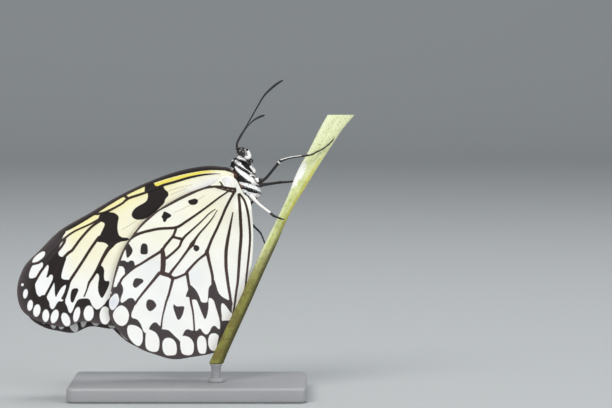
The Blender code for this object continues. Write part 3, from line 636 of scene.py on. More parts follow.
def nearest(spots, line):             # the distance to a line of points, and the foot of it
    best = np.full(len(spots), np.inf)
    feet = spots.copy()
    for start, end in zip(line[:-1], line[1:]):
        run = end - start
        part = np.clip((spots - start) @ run / (run @ run), 0.0, 1.0)
        foot = start + part[:, None] * run
        gap = np.hypot(*(spots - foot).T)
        closer = gap < best
        best[closer] = gap[closer]
        feet[closer] = foot[closer]
    return best, feet


def within(spots, rim):
    crossed = np.zeros(len(spots), bool)
    x, y = spots.T
    for (x0, y0), (x1, y1) in zip(rim[:-1], rim[1:]):
        if y0 != y1:
            crossed ^= ((y0 > y) != (y1 > y)) & (x < x0 + (x1 - x0) * (y - y0) / (y1 - y0))
    return crossed


def shapeDepth(spots, points, rounds=2):
    rim = np.array(points, float)     # cutting its corners twice rounds a shape
    for _ in range(rounds):
        after = np.roll(rim, -1, axis=0)
        rim = np.stack([rim * 0.75 + after * 0.25, rim * 0.25 + after * 0.75], 1).reshape(-1, 2)
    rim = np.vstack([rim, rim[:1]])
    depth = np.full(len(spots), outside)
    close = ((spots > rim.min(0) + outside) & (spots < rim.max(0) - outside)).all(1)
    gap, _ = nearest(spots[close], rim)
    depth[close] = np.maximum(np.where(within(spots[close], rim), gap, -gap), outside)
    return depth


def veinDepth(spots, vein):           # how far inside a vein the points lie, and how far from its middle
    depth = np.full(len(spots), outside)
    gap = np.full(len(spots), farAway)
    line = curve(vein, 1.0)
    for start, end in zip(line[:-1], line[1:]):
        low, high = np.minimum(start[:2], end[:2]) + outside, np.maximum(start[:2], end[:2]) - outside
        close = ((spots > low) & (spots < high)).all(1)
        run = end[:2] - start[:2]
        part = np.clip((spots[close] - start[:2]) @ run / (run @ run), 0.0, 1.0)
        off = np.hypot(*(spots[close] - start[:2] - part[:, None] * run).T)
        gap[close] = np.minimum(gap[close], off)
        depth[close] = np.maximum(depth[close], start[2] + (end[2] - start[2]) * part - off)
    return depth, gap


def spotDepth(spots, centre, half, lean):
    off = spots - centre
    across = off[:, 0] * math.cos(lean) - off[:, 1] * math.sin(lean)
    along = off[:, 1] * math.cos(lean) + off[:, 0] * math.sin(lean)
    reach = np.hypot(across / half[0], along / half[1])
    return np.clip((1.0 - reach) * half[0], outside, None)


def deepest(spots, rows):             # how far inside any of the rows a point lies
    depth = np.full(len(spots), outside)
    for row in rows:
        depth = np.maximum(depth, veinDepth(spots, row)[0])
    return depth


def glows(spots, rows):               # soft round spots: out, down, reach and strength
    total = np.zeros(len(spots))
    for out, down, reach, strength in rows:
        total += strength * np.exp(-((spots - (out, down)) ** 2).sum(1) / reach ** 2)
    return total


def paintWing(spots, wing, toRim):    # the markings, as depths in millimetres and as strengths
    out, down = spots.T
    vein = np.full(len(spots), outside)
    toVein = np.full(len(spots), farAway)
    for row in wing["veins"] + wing["dark"]:
        depth, gap = veinDepth(spots, row)
        vein = np.maximum(vein, depth + wings["veinExtra"])
        toVein = np.minimum(toVein, gap)
    patch = deepest(spots, wing["dark"])
    for shape in wing["patches"]:
        patch = np.maximum(patch, shapeDepth(spots, shape, 1))
    band = shapeDepth(spots, wing["band"], 1)
    for shape in wing["windows"]:
        band = np.minimum(band, -shapeDepth(spots, shape))
    patch = np.maximum(patch, band)
    ink = np.maximum(patch, vein)
    if wing["edge"]:
        beside = veinDepth(spots, wing["edge"])[0] > -wings["edgeReach"]
        width = np.interp(down, *np.array(wing["edge"]).T[1:])
        ink = np.maximum(ink, np.where(beside, width - toRim, outside))
    for centre, half, lean in wing["spots"]:
        ink = np.minimum(ink, -spotDepth(spots, centre, half, lean))
    toFront, _ = nearest(spots, frontEdge)
    (most, high, low), (byFront, reach) = wing["cream"]
    cream = wings["creamLeast"] + most * (1.0 - ease(down, high, low))
    cream += byFront * np.exp(-(toFront / reach) ** 2)
    gold = np.zeros(len(spots))
    if wing is foreWing:
        cream *= 1.0 - ease(out, *wings["creamEnd"])
        gold = ease(veinDepth(spots, goldStripe)[0], *wings["goldSoft"]) * ease(out, *wings["goldStart"])
    cream += glows(spots, wing["blobs"])
    atRim = (1.0 - ease(toRim, *wings["hazeRim"])) * ease(out + down, *wings["hazeTip"])
    marks = {
        "ink": ink,
        "patch": patch,
        "cream": np.clip(cream, 0.0, 1.0),
        "gold": gold,
        "haze": np.maximum(wing["hazeMost"] * ease(down, *wing["haze"]), wing["rimHaze"] * atRim),
        "shade": glows(spots, wing["shade"]),
        "fold": wings["foldMost"] * ease(deepest(spots, wing["folds"]), *wings["foldSoft"]),
    }
    return marks, toVein


def thoraxSide(out, down):
    table = np.array(thoraxShape)
    down = np.clip(down, table[0, 0], table[-1, 0])
    back, belly, half = (np.interp(down, table[:, 0], table[:, k]) for k in (1, 2, 3))
    reach = (2 * out - back - belly) / (back - belly)
    return half * np.sqrt(np.maximum(0.0, 1.0 - reach ** 2))


def wingSide(spots, layer):           # how far from the middle of the body a wing lies
    out, down = spots.T
    side = wings["baseSpread"] * np.exp(-(out ** 2 + down ** 2) / wings["baseReach"] ** 2)
    side += wings["edgeSpread"] * ease(np.hypot(out, down), *wings["edgeSpreads"])
    side += wings["leastSpread"] + wings[layer]
    root = thoraxSide(out, down)
    if layer == "foreLayer":
        held = 1.0 - ease(out, *wings["foreHeld"])
    else:
        bulge = np.exp(-((out - wings["abdomenOut"]) / wings["bulgeReach"]) ** 2)
        bulge *= ease(down, *wings["bulgeStart"]) * (1.0 - ease(down, *wings["bulgeEnd"]))
        side += wings["abdomenBulge"] * bulge
        root = np.maximum(root, wings["abdomenRadius"])
        held = (1.0 - ease(out, *wings["hindHeldOut"])) * (1.0 - ease(down, *wings["hindHeldDown"]))
    return side + (root + wings["rootRoom"] - side) * held


def closedRim(outline):
    rim = curve(outline, 0.5, closed=True)
    return np.vstack([rim, rim[:1]])


def wingSheet(wing):                  # a flat grid cut to the outline; z is 0 on its inner face and 1 outside
    cell = wings["cell"]
    rim = closedRim(wing["outline"])
    low, high = rim.min(0) - cell, rim.max(0) + cell
    columns, rows = np.ceil((high - low) / cell).astype(int)
    middle = Matrix.Translation((*((low + high) / 2), 0.0))
    size = Matrix.Diagonal((columns * cell, rows * cell, 1.0, 1.0))
    bm = bmesh.new()
    bmesh.ops.create_grid(bm, x_segments=int(columns), y_segments=int(rows), size=0.5, matrix=middle @ size)
    spots = np.array([vert.co[:2] for vert in bm.verts])
    gap, feet = nearest(spots, rim)
    doomed = ~within(spots, rim) & (gap > 0.5 * cell)
    corners = []
    for face in bm.faces:
        kept = [vert for vert in face.verts if not doomed[vert.index]]
        if len(kept) == 3:
            corners.append(kept)
    for vert in bm.verts:
        if gap[vert.index] <= 0.5 * cell:
            vert.co = (*feet[vert.index], 0.0)
    bmesh.ops.delete(bm, geom=[vert for vert in bm.verts if doomed[vert.index]], context="VERTS")
    for kept in corners:
        bm.faces.new(kept)
    bmesh.ops.delete(bm, geom=[vert for vert in bm.verts if not vert.link_faces], context="VERTS")
    bmesh.ops.recalc_face_normals(bm, faces=bm.faces)
    made = bmesh.ops.extrude_face_region(bm, geom=bm.faces[:])["geom"]
    lifted = [item for item in made if isinstance(item, bmesh.types.BMVert)]
    bmesh.ops.translate(bm, vec=(0.0, 0.0, 1.0), verts=lifted)
    mesh = bpy.data.meshes.new("flatWing")
    bm.to_mesh(mesh)
    bm.free()
    return mesh, rim


def meshSpots(mesh):
    spots = np.empty(len(mesh.vertices) * 3)
    mesh.vertices.foreach_get("co", spots)
    return spots.reshape(-1, 3)


def dressWing(word, wing, flat, marks, toVein, toRim, side, turn=0.0, shift=(0.0, 0.0)):
    drawn = meshSpots(flat)
    lean = math.radians(turn)
    spin = np.array([(math.cos(lean), math.sin(lean)), (-math.sin(lean), math.cos(lean))])
    spots = drawn[:, :2] @ spin + shift
    out, down, face = drawn.T
    a, b, c, d = wings["wave"]
    wave = np.sin(out * a + down * b) * np.cos(down * c - out * d) * ease(toVein, *wings["waveStart"])
    hill = np.exp(-(toVein / wings["veinReach"]) ** 2) * ease(toRim, *wings["veinEnd"])
    thick = wings["rimThick"] + (1.0 - wings["rimThick"]) * ease(toRim, *wings["rimRound"])
    half = wings["halfThick"] * thick + wings["veinRise"] * hill
    layer = wingSide(spots, wing["layer"]) + wings["ripple"] * wave + (face * 2.0 - 1.0) * half
    placed = placeAll(np.column_stack([spots, side * layer]))
    bm = bmesh.new()
    bm.from_mesh(flat)
    hand = "Right" if side < 0 else "Left"
    piece = finishPiece(word + "Wing" + hand, bm, wingFinish(), [word + "wing_" + hand.lower()])
    piece.data.vertices.foreach_set("co", placed.ravel())
    if side > 0:
        piece.data.flip_normals()
    piece.data.update()
    for key, values in marks.items():
        store(piece, key, values)
    # a painted highlight along the rim, growing towards the tips
    least = wings["rimHighlightLeast"]
    pale = np.exp(-toRim / wings["rimHighlight"]) * (least + (1.0 - least) * ease(out, *wings["rimHighlightStart"]))
    store(piece, "rim", pale)
    store(piece, "flat", drawn * mm)
    room, size, (width, second) = wings["mapRoom"], wings["mapSize"], wings["mapHalves"]
    across = (out + room[0]) / size[0] * width + second * face
    storeUv(piece, np.column_stack([across, (down + room[1]) / size[1]])[loopVerts(piece.data)])


wingLook = {
    "white": srgb(0.935, 0.935, 0.93),
    "yellow": srgb(0.93, 0.89, 0.60),
    "gold": srgb(0.91, 0.84, 0.27),
    "dark": srgb(0.105, 0.08, 0.07),
    "darkHazy": srgb(0.25, 0.22, 0.225),
    "vein": srgb(0.19, 0.13, 0.09),
    "veinHazy": srgb(0.27, 0.21, 0.20),
    # the colour of the painted highlight along the rim
    "edge": srgb(0.46, 0.41, 0.41),
    "fold": srgb(0.60, 0.50, 0.36),
    "grain": srgb(0.78, 0.77, 0.75),
    "shade": srgb(0.82, 0.84, 0.87),
    "soft": 0.10,                     # half the width of a marking's soft edge, in millimetres
    "ragged": 0.14,
    "scaleRagged": 0.05,
    "fineScale": 4200.0,
    "broadScale": 160.0,
    "scaleRows": 5200.0,
    "scaleShape": (1.0, 0.55, 1.0),
    "creamMottle": 0.12,
    "scaleGrain": 0.14,
    "patchGrain": 0.06,
    "rimHighlightMost": 0.45,
    "rimHighlightMottle": 0.15,
    "rough": 0.72,
    "inkGloss": 0.12,
    "roughMottle": 0.1,
    "scaleDepth": 0.00004,
}


def wingFinish():                     # one material for the four wings
    made = bpy.data.materials.get("wingScales")
    if made:
        return made
    look = Finish("wingScales", {"Specular IOR Level": 0.25})
    flat = look.vector("flat")
    fine = look.noise(flat, wingLook["fineScale"], 2.0)
    broad = look.noise(flat, wingLook["broadScale"], 3.0)
    scales = look.cells(look.stretched(flat, wingLook["scaleShape"]), wingLook["scaleRows"])
    rag = (fine - 0.5) * wingLook["ragged"] + (scales - 0.4) * wingLook["scaleRagged"]
    soft = wingLook["soft"]
    ink = look.fade(look.attribute("ink") + rag, -soft, soft)
    patch = look.fade(look.attribute("patch") + rag, -soft, soft)
    haze = look.attribute("haze")
    cream = look.attribute("cream") + (broad - 0.5) * wingLook["creamMottle"]
    pale = look.blend(cream, wingLook["white"], wingLook["yellow"])
    for mark in ("gold", "shade", "fold"):
        pale = look.blend(look.attribute(mark), pale, wingLook[mark])
    grain = scales * wingLook["scaleGrain"] + look.fade(broad, 0.45, 0.75) * wingLook["patchGrain"]
    pale = look.blend(grain, pale, wingLook["grain"])
    vein = look.blend(haze, wingLook["vein"], wingLook["veinHazy"])
    dark = look.blend(haze, wingLook["dark"], wingLook["darkHazy"])
    dark = look.blend(patch, vein, dark)
    # the painted highlight along the rim lightens the dark markings there
    edge = look.attribute("rim") * wingLook["rimHighlightMost"] + (fine - 0.5) * wingLook["rimHighlightMottle"]
    colour = look.blend(ink, pale, look.blend(edge, dark, wingLook["edge"]))
    height = scales * 0.5 + fine * 0.5
    rough = wingLook["rough"] - ink * wingLook["inkGloss"] + (fine - 0.5) * wingLook["roughMottle"]
    return look.show(colour=colour, roughness=rough, normal=look.bump(height, wingLook["scaleDepth"], 0.6))


def buildWings():
    for wing, word in ((foreWing, "fore"), (hindWing, "hind")):
        flat, rim = wingSheet(wing)
        drawn = meshSpots(flat)[:, :2]
        toRim, _ = nearest(drawn, rim)
        marks, toVein = paintWing(drawn, wing, toRim)
        dressWing(word, wing, flat, marks, toVein, toRim, -1)
        dressWing(word, wing, flat, marks, toVein, toRim, 1, *wings["left" + word.capitalize()])
        bpy.data.meshes.remove(flat)


# Body

body = {
    # down, back line, belly line, half width, depth of the coat
    "stations": [
        (-10.32, -0.25, -0.45, 0.12, 0.02), (-10.2, 0.35, -1.05, 0.65, 0.05), (-9.8, 0.85, -1.5, 1.0, 0.12),
        (-9.0, 1.1, -1.8, 1.15, 0.2), (-8.3, 0.85, -1.65, 1.1, 0.2), (-7.85, 0.65, -1.4, 0.95, 0.2),
        (-7.5, 1.0, -1.2, 1.0, 0.2), (-7.1, 2.0, -1.5, 1.45, 0.25), (-6.8, 2.4, -1.9, 1.75, 0.3),
        (-5.0, 3.0, -2.95, 2.4, 0.35), (-3.0, 2.9, -4.1, 2.75, 0.35), (-0.5, 2.6, -5.2, 2.8, 0.35),
        (1.2, 2.3, -5.8, 2.65, 0.35), (2.4, 1.9, -5.95, 2.35, 0.32), (3.4, 1.4, -5.2, 2.0, 0.3),
        (4.1, 1.0, -3.7, 1.6, 0.26), (4.7, 0.5, -2.75, 1.3, 0.2),
        (5.3, 0.45, -2.25, 1.35, 0.12), (6.2, 0.85, -2.65, 1.75, 0.1), (9.0, 0.95, -2.75, 1.85, 0.1),
        (13.0, 0.9, -2.7, 1.8, 0.1), (17.0, 0.75, -2.55, 1.65, 0.1), (20.5, 0.5, -2.3, 1.4, 0.08),
        (23.2, 0.15, -1.95, 1.05, 0.06), (24.9, -0.3, -1.5, 0.6, 0.04), (25.55, -0.65, -1.15, 0.22, 0.0),
    ],
    "sides": 72,
    "step": 0.22,
    "abdomenFrom": 5.4,
    "segmentLength": 2.55,
    "segmentDip": 0.07,
    "dipReach": 0.09,                 # as a part of a segment
    "jointSlope": 0.9,                # how fast the white of the abdomen starts beside a joint
    "jointBlack": 0.05,
    "bellyTop": 0.35,                 # the abdomen is white on the belly's side of this line
    "waist": 0.5,
    "rustSoft": (-0.15, 0.1),
    "white": [                        # rows of out, down and half width, seen from the side
        [(1.6, -8.75, 0.18), (0.8, -8.15, 0.38), (-0.1, -7.55, 0.42), (-1.2, -7.1, 0.25)],
        [(2.4, -7.2, 0.2), (2.0, -6.95, 0.32)],
        [(1.1, -8.9, 0.14), (0.95, -8.5, 0.2)],
        [(0.95, -9.75, 0.14), (0.75, -10.0, 0.18)],
        [(1.15, -6.7, 0.3), (0.3, -6.1, 0.5), (-0.3, -5.5, 0.3), (-1.4, -4.6, 0.12), (-2.8, -3.6, 0.15),
         (-4.2, -2.2, 0.15), (-5.2, -1.4, 0.15)],
        [(-1.4, -7.0, 0.2), (-2.8, -5.5, 0.25), (-3.8, -3.9, 0.27), (-4.4, -2.8, 0.15)],
        [(1.2, -5.0, 0.28), (0.2, -4.0, 0.45), (-1.0, -3.1, 0.6), (-2.4, -2.1, 0.66), (-3.9, -1.1, 0.52),
         (-5.4, -0.3, 0.3)],
        [(2.6, -4.9, 0.2), (2.1, -4.5, 0.3)],
        [(0.1, -0.75, 0.3), (-1.6, -0.3, 0.45), (-3.5, 0.3, 0.5), (-5.2, 1.1, 0.45), (-6.0, 1.6, 0.35)],
        [(0.1, 1.2, 0.3), (-0.85, 1.36, 0.42), (-1.7, 1.6, 0.3)],
        [(-2.2, 2.1, 0.45), (-4.0, 2.75, 0.7), (-5.9, 3.1, 0.8)],
        [(0.6, 3.2, 0.3), (-1.2, 3.6, 0.55), (-2.8, 4.2, 0.5)],
    ],
    "face": [
        (-0.5, -10.6), (-1.2, -10.2), (-1.2, -9.4), (-1.45, -8.6), (-1.3, -8.0), (-1.6, -7.4),
        (-3.0, -7.6), (-3.0, -10.0), (-1.6, -10.8),
    ],
    "rust": [
        [(2.6, -3.95, 0.25), (2.0, -3.5, 0.35), (1.3, -2.9, 0.3), (0.9, -2.4, 0.1)],
        [(-3.9, 2.9, 0.1), (-4.6, 3.3, 0.16), (-5.4, 3.6, 0.1)],
        [(0.4, -0.7, 0.2), (-0.5, 0.4, 0.25)],
        [(-4.9, -1.7, 0.25), (-6.0, -1.0, 0.3)],
    ],
}
bodyTable = curve(body["stations"], 0.3)


def fromJoint(down):                  # the distance to the nearest joint of the abdomen, in segments
    ring = (down - body["abdomenFrom"]) / body["segmentLength"] % 1.0
    return np.minimum(ring, 1.0 - ring)


def bodySpots(down, turn, lift=0.0):
    back, belly, half, coat = (np.interp(down, bodyTable[:, 0], bodyTable[:, k]) for k in (1, 2, 3, 4))
    gap = np.where(down > body["abdomenFrom"], fromJoint(down), 0.5)
    off = lift - coat - body["segmentDip"] * np.exp(-(gap / body["dipReach"]) ** 2)
    out = (back + belly) / 2 + ((back - belly) / 2 + off) * np.cos(turn)
    return np.stack([out, down, (half + off) * np.sin(turn)], -1)


def bodyPaint(spots):                 # white is above 0 where the coat is white
    flank = spots[:, :2]
    out, down = flank.T
    depth = np.maximum(deepest(flank, body["white"]), shapeDepth(flank, body["face"], 1))
    joint = body["jointSlope"] * fromJoint(down) - body["jointBlack"]
    tail = np.minimum(body["bellyTop"] - out, joint)
    rust = ease(deepest(flank, body["rust"]), *body["rustSoft"]) * (down < body["abdomenFrom"])
    return {"white": np.where(down > body["abdomenFrom"] - body["waist"], tail, depth), "rust": rust}


coatLook = {
    "black": srgb(0.065, 0.055, 0.05),
    "grey": srgb(0.22, 0.19, 0.175),
    "brown": srgb(0.50, 0.35, 0.29),
    "white": srgb(0.985, 0.98, 0.975),
    "shade": srgb(0.78, 0.76, 0.75),
    "greyMost": 0.25,
    "shadeMost": 0.3,
    "rootDark": 0.06,
    "soft": 0.05,                     # half the width of the edge of the white, in millimetres
    "ragged": 0.1,
    "strandScale": 9000.0,
    "strandShape": (1.0, 1.0, 0.25),
    "rough": 0.7,
    "strandGloss": 0.2,
    "strandDepth": 0.00006,
}


def coatFinish(name, hairs):
    look = Finish(name, {"Specular IOR Level": 0.3})
    strands = look.noise(look.stretched(look.spot(), coatLook["strandShape"]), coatLook["strandScale"], 3.0)
    edge = look.attribute("white") + (strands - 0.5) * coatLook["ragged"]
    streaks = look.fade(strands, 0.5, 0.8)
    black = look.blend(streaks * coatLook["greyMost"], coatLook["black"], coatLook["grey"])
    pale = look.blend(streaks * coatLook["shadeMost"], coatLook["white"], coatLook["shade"])
    colour = look.blend(look.fade(edge, -coatLook["soft"], coatLook["soft"]), black, pale)
    colour = look.blend(look.attribute("rust"), colour, coatLook["brown"])
    if hairs:
        colour = look.blend(look.attribute("root") * coatLook["rootDark"], colour, coatLook["black"])
    rough = coatLook["rough"] - strands * coatLook["strandGloss"]
    return look.show(colour=colour, roughness=rough, normal=look.bump(strands, coatLook["strandDepth"]))


def copies(template, count):          # vertex and face lists of many copies of one small mesh
    points = np.array([vert.co[:] for vert in template.verts])
    faces = [[vert.index for vert in face.verts] for face in template.faces]
    starts = (np.arange(count) * len(points)).tolist()
    return points, [[start + i for i in face] for start in starts for face in faces]


tuftForm = {
    "bendAt": 0.4,                    # a part of the length
    "swell": 0.6,
    "flatness": 0.45,
    "droop": 0.55,
    "rootShade": (0.0, 0.7),
    "mapSize": (0.001, 0.003),
}


def tuftShape():                      # a three-sided spike along z, with a ring of points to bend it at
    bm = bmesh.new()
    half = Matrix.Translation((0.0, 0.0, 0.5))
    bmesh.ops.create_cone(bm, cap_ends=True, segments=3, radius1=1.0, radius2=0.0, depth=1.0, matrix=half)
    everything = bm.verts[:] + bm.edges[:] + bm.faces[:]
    bmesh.ops.bisect_plane(bm, geom=everything, plane_co=(0, 0, tuftForm["bendAt"]), plane_no=(0, 0, 1))
    bm.verts.index_update()
    return bm


def growTufts(name, roots, lie, rise, sizes, paint, maps, material):
    # roots, lie and rise are rows in metres; sizes are length, width and lift of each tuft
    template = tuftShape()
    points, faces = copies(template, len(roots))
    template.free()
    length, width, lift = (sizes[:, k, None, None] for k in range(3))
    lie = lie / np.linalg.norm(lie, axis=1)[:, None]
    rise = rise / np.linalg.norm(rise, axis=1)[:, None]
    across = np.cross(lie, rise)
    x, y, z = (points[None, :, k, None] for k in range(3))
    full = 1.0 + tuftForm["swell"] * z * (1.0 - z)
    grown = roots[:, None] + across[:, None] * x * width * full + lie[:, None] * z * length
    high = y * width * tuftForm["flatness"] + lift * length * (z - tuftForm["droop"] * z * z)
    grown = grown + rise[:, None] * high
    mesh = bpy.data.meshes.new(name)
    mesh.from_pydata(grown.reshape(-1, 3).tolist(), [], faces)
    bm = bmesh.new()
    bm.from_mesh(mesh)
    bpy.data.meshes.remove(mesh)
    bmesh.ops.recalc_face_normals(bm, faces=bm.faces)
    piece = finishPiece(name, bm, material)
    for key, values in paint.items():
        store(piece, key, np.repeat(values, len(points)))
    store(piece, "root", np.tile(1.0 - ease(points[:, 2], *tuftForm["rootShade"]), len(roots)))
    patch = maps[:, None] + points[None][:, :, [0, 2]] * tuftForm["mapSize"]
    storeUv(piece, patch.reshape(-1, 2)[loopVerts(piece.data)])


def bodyMap(down, turn):
    low, high = bodyTable[0, 0], bodyTable[-1, 0]
    return wrapMap(turn / math.tau % 1.0, (down - low) / (high - low))


def buildBody():
    low, high = bodyTable[0, 0], bodyTable[-1, 0]
    downs = np.linspace(low, high, round((high - low) / body["step"]))
    turns = np.linspace(0.0, math.tau, body["sides"], endpoint=False)
    grid = np.stack([bodySpots(np.full(len(turns), down), turns) for down in downs])
    spots = grid.reshape(-1, 3)
    bm = loft(placeAll(spots).reshape(grid.shape))
    piece = finishPiece("bodySkin", bm, coatFinish("coatSkin", False), ["head", "thorax", "abdomen"])
    for key, values in bodyPaint(spots).items():
        store(piece, key, values)
    wrapUv(piece, np.tile(turns / math.tau, len(downs)), np.repeat((downs - low) / (high - low), len(turns)))


hair = {
    # down from and to, count, length, width and lift of the tufts
    "regions": [
        (-10.2, -7.8, 2200, 0.42, 0.05, 0.35), (-7.9, -6.4, 1700, 0.62, 0.055, 0.5),
        (-6.5, 4.9, 9500, 0.62, 0.06, 0.2), (4.9, 25.3, 4200, 0.5, 0.07, 0.2),
    ],
    "sizes": (0.7, 1.3),
    "sunk": 0.06,
    "mess": 0.25,
    "edgeMess": 0.04,
    "eyeClear": 1.0,
    "roots": 700,                     # tufts on each side over the bases of the wings
    "rootCentre": (2.3, -1.2),
    "rootHalf": (2.3, 1.8),
    "rootSits": 0.13,
    "rootWay": (0.55, 0.2),
    "rootMess": 0.12,
    "rootClear": 0.35,
    "rootStart": 2.4,
    "rootSizes": (0.6, 1.2),
    "rootShrink": (1.1, 0.5),         # the size at the middle of the patch, and how much it loses to its rim
    "rootTuft": (0.9, 0.07, 0.03),
    "rootWhite": 0.8,
    "palps": 520,
    "palpSizes": (0.6, 1.2),
    "palpSunk": 0.9,                  # roots lie at this part of the radius
    "palpTuft": (0.42, 0.045, 0.5),
    "palpBlack": 0.84,
    "palpWhite": 0.5,
}


def coatTufts():                      # on the head, thorax and abdomen
    drawn = []
    for start, end, count, *tuft in hair["regions"]:
        size = draw.uniform(*hair["sizes"], count)
        flat = np.column_stack([draw.uniform(start, end, count), draw.uniform(0.0, math.tau, count), size])
        drawn.append(np.column_stack([flat, np.tile(tuft, (count, 1))]))
    down, turn, size, length, width, lift = np.vstack(drawn).T
    step = 0.02                       # how far off the skin is read to find its slope
    spots = bodySpots(down, turn, -hair["sunk"])
    roots = placeAll(spots)
    lie = placeAll(bodySpots(down + step, turn, -hair["sunk"])) - roots
    rise = np.cross(placeAll(bodySpots(down, turn + step, -hair["sunk"])) - roots, lie)
    rise *= np.sign((rise * (placeAll(bodySpots(down, turn, step)) - roots)).sum(1))[:, None]
    rise /= np.linalg.norm(rise, axis=1)[:, None]
    lie += np.cross(lie, rise) * draw.normal(0.0, hair["mess"], (len(roots), 1))
    out, high, side = head["eyeCentre"]
    fromEye = np.hypot(spots[:, 0] - out, spots[:, 1] - high)
    clear = (np.abs(spots[:, 2]) < side / 2) | (fromEye > hair["eyeClear"])
    paint = bodyPaint(spots)
    white = paint["white"] + draw.normal(0.0, hair["edgeMess"], len(roots))
    tuft = np.column_stack([size * length * mm, width * mm, lift])
    return [values[clear] for values in (roots, lie, rise, tuft, white, paint["rust"], bodyMap(down, turn))]


def rootTufts(side):                  # white hair that hugs the bases of the wings
    count = hair["roots"]
    turn = draw.uniform(0.0, math.tau, count)
    reach = np.sqrt(draw.uniform(0.0, 1.0, count))
    flat = np.column_stack([np.cos(turn), np.sin(turn)]) * reach[:, None]
    flat = flat * hair["rootHalf"] + hair["rootCentre"]
    way = np.array(hair["rootWay"]) + draw.normal(0.0, hair["rootMess"], (count, 2))
    full, less = hair["rootShrink"]
    size = draw.uniform(*hair["rootSizes"], count) * (full - less * reach)
    rim = closedRim(hindOutline)
    clear = within(flat, rim) | (flat[:, 0] > hair["rootStart"])
    clear &= nearest(flat, rim)[0] > hair["rootClear"]
    flat, way, size = flat[clear], way[clear], size[clear]

    def onWing(spots):
        layer = np.where(within(spots, rim), wingSide(spots, "hindLayer"), wingSide(spots, "foreLayer"))
        return placeAll(np.column_stack([spots, side * (layer + hair["rootSits"])]))

    roots = onWing(flat)
    length, width, lift = hair["rootTuft"]
    count = len(flat)
    rise = np.tile((0.0, float(side), 0.0), (count, 1))
    tuft = np.column_stack([size * length * mm, np.full(count, width * mm), np.full(count, lift)])
    white = np.full(count, hair["rootWhite"])
    return [roots, onWing(flat + way) - roots, rise, tuft, white, np.zeros(count), stripMap(count)]


def palpTufts(side):
    count = hair["palps"]
    path = curve(head["palp"] if side > 0 else mirrored(head["palp"]), head["palpStep"])
    middles, along, across, beside = tubeFrames(path)
    at = draw.integers(0, len(path) - 1, count)
    turn = draw.uniform(0.0, math.tau, count)
    rise = across[at] * np.cos(turn)[:, None] + beside[at] * np.sin(turn)[:, None]
    roots = middles[at] + rise * path[at, 3, None] * hair["palpSunk"] * mm
    length, width, lift = hair["palpTuft"]
    size = draw.uniform(*hair["palpSizes"], count)
    tuft = np.column_stack([size * length * mm, np.full(count, width * mm), np.full(count, lift)])
    white = np.where(at > hair["palpBlack"] * len(path), -1.0, hair["palpWhite"])
    return [roots, along[at], rise, tuft, white, np.zeros(count), stripMap(count)]


def buildCoat():
    groups = [coatTufts(), rootTufts(-1), rootTufts(1), palpTufts(-1), palpTufts(1)]
    roots, lie, rise, tuft, white, rust, maps = (np.concatenate(values) for values in zip(*groups))
    paint = {"white": white, "rust": rust}
    growTufts("bodyHair", roots, lie, rise, tuft, paint, maps, coatFinish("coatHair", True))


# Eyes, palps and proboscis

head = {
    "eyeCentre": (-0.3, -9.0, 1.3),
    "eyeHalf": (1.05, 1.05, 0.8),
    "palp": [
        (-1.2, -7.9, 0.5, 0.3), (-1.95, -7.45, 0.55, 0.4), (-2.45, -7.75, 0.58, 0.44),
        (-2.38, -8.45, 0.58, 0.4), (-2.1, -9.15, 0.55, 0.3), (-1.9, -9.6, 0.52, 0.12),
    ],
    "palpSides": 24,
    "palpStep": 0.1,
    "palpWhite": 0.6,
    "palpTip": (0.55, 0.15, 1.4),     # how far from the tip the black starts and is full, and its strength
    "coilCentre": (-2.95, -6.55),
    "coilRadius": 0.55,
    "coilTube": 0.14,
    "coilTurns": 2.3,
    "coilPoints": 40,                 # of its route, in each turn
    "coilStart": -60,
    "coilNarrows": 0.62,
    "coilThins": 0.45,
    "coilGrooves": 38.0,
    "grooveDepth": 0.06,
    "coilSides": 14,
    "coilStep": 0.03,
    "facetScale": 14000.0,
    "facetDepth": 0.00002,
    "eyeMottle": 1500.0,
    "eyeDark": srgb(0.05, 0.035, 0.03),
    "eyeBrown": srgb(0.14, 0.10, 0.085),
}


def eyeFinish():
    look = Finish("eyeFacets", {"Roughness": 0.12, "Coat Weight": 0.6, "Coat Roughness": 0.05})
    spot = look.spot()
    facets = look.cells(spot, head["facetScale"], "SMOOTH_F1", 0.2)
    broad = look.noise(spot, head["eyeMottle"], 2.0)
    colour = look.blend(broad, head["eyeDark"], head["eyeBrown"])
    return look.show(colour=colour, normal=look.bump(1.0 - facets, head["facetDepth"], 0.5))


def buildEyes():
    out, down, side = head["eyeCentre"]
    finish = eyeFinish()
    wide, tall, deep = head["eyeHalf"]
    size = Matrix.Diagonal((wide * mm, deep * mm, tall * mm, 1.0))
    for word, way in (("Left", 1), ("Right", -1)):
        bm = bmesh.new()
        bmesh.ops.create_icosphere(bm, subdivisions=5, radius=1.0)
        centre = Matrix.Translation(place(out, down, way * side))
        bmesh.ops.transform(bm, matrix=centre @ size, verts=bm.verts)
        finishPiece("eye" + word, bm, finish, ["eye_" + word.lower()])


shellLook = {
    "black": srgb(0.05, 0.045, 0.045),
    "brown": srgb(0.15, 0.125, 0.115),
    # the legs' white marks and their painted highlight line
    "white": srgb(0.90, 0.89, 0.87),
    "soft": 0.15,
    "ragged": 0.5,
    "scales": 9000.0,
    "fine": 5000.0,
    "rough": 0.55,
    "gloss": 0.15,
    "depth": 0.00003,
}


def shellFinish(name):
    look = Finish(name, {"Specular IOR Level": 0.4})
    spot = look.spot()
    scales = look.cells(spot, shellLook["scales"])
    fine = look.noise(spot, shellLook["fine"], 3.0)
    black = look.blend(fine, shellLook["black"], shellLook["brown"])
    edge = look.attribute("white") + (fine - 0.5) * shellLook["ragged"]
    colour = look.blend(look.fade(edge, -shellLook["soft"], shellLook["soft"]), black, shellLook["white"])
    rough = shellLook["rough"] - fine * shellLook["gloss"]
    return look.show(colour=colour, roughness=rough, normal=look.bump(scales, shellLook["depth"], 0.7))


def runAlong(path):                   # the length run at each point of a route
    return np.concatenate([[0.0], np.cumsum(np.linalg.norm(np.diff(path[:, :3], axis=0), axis=1))])


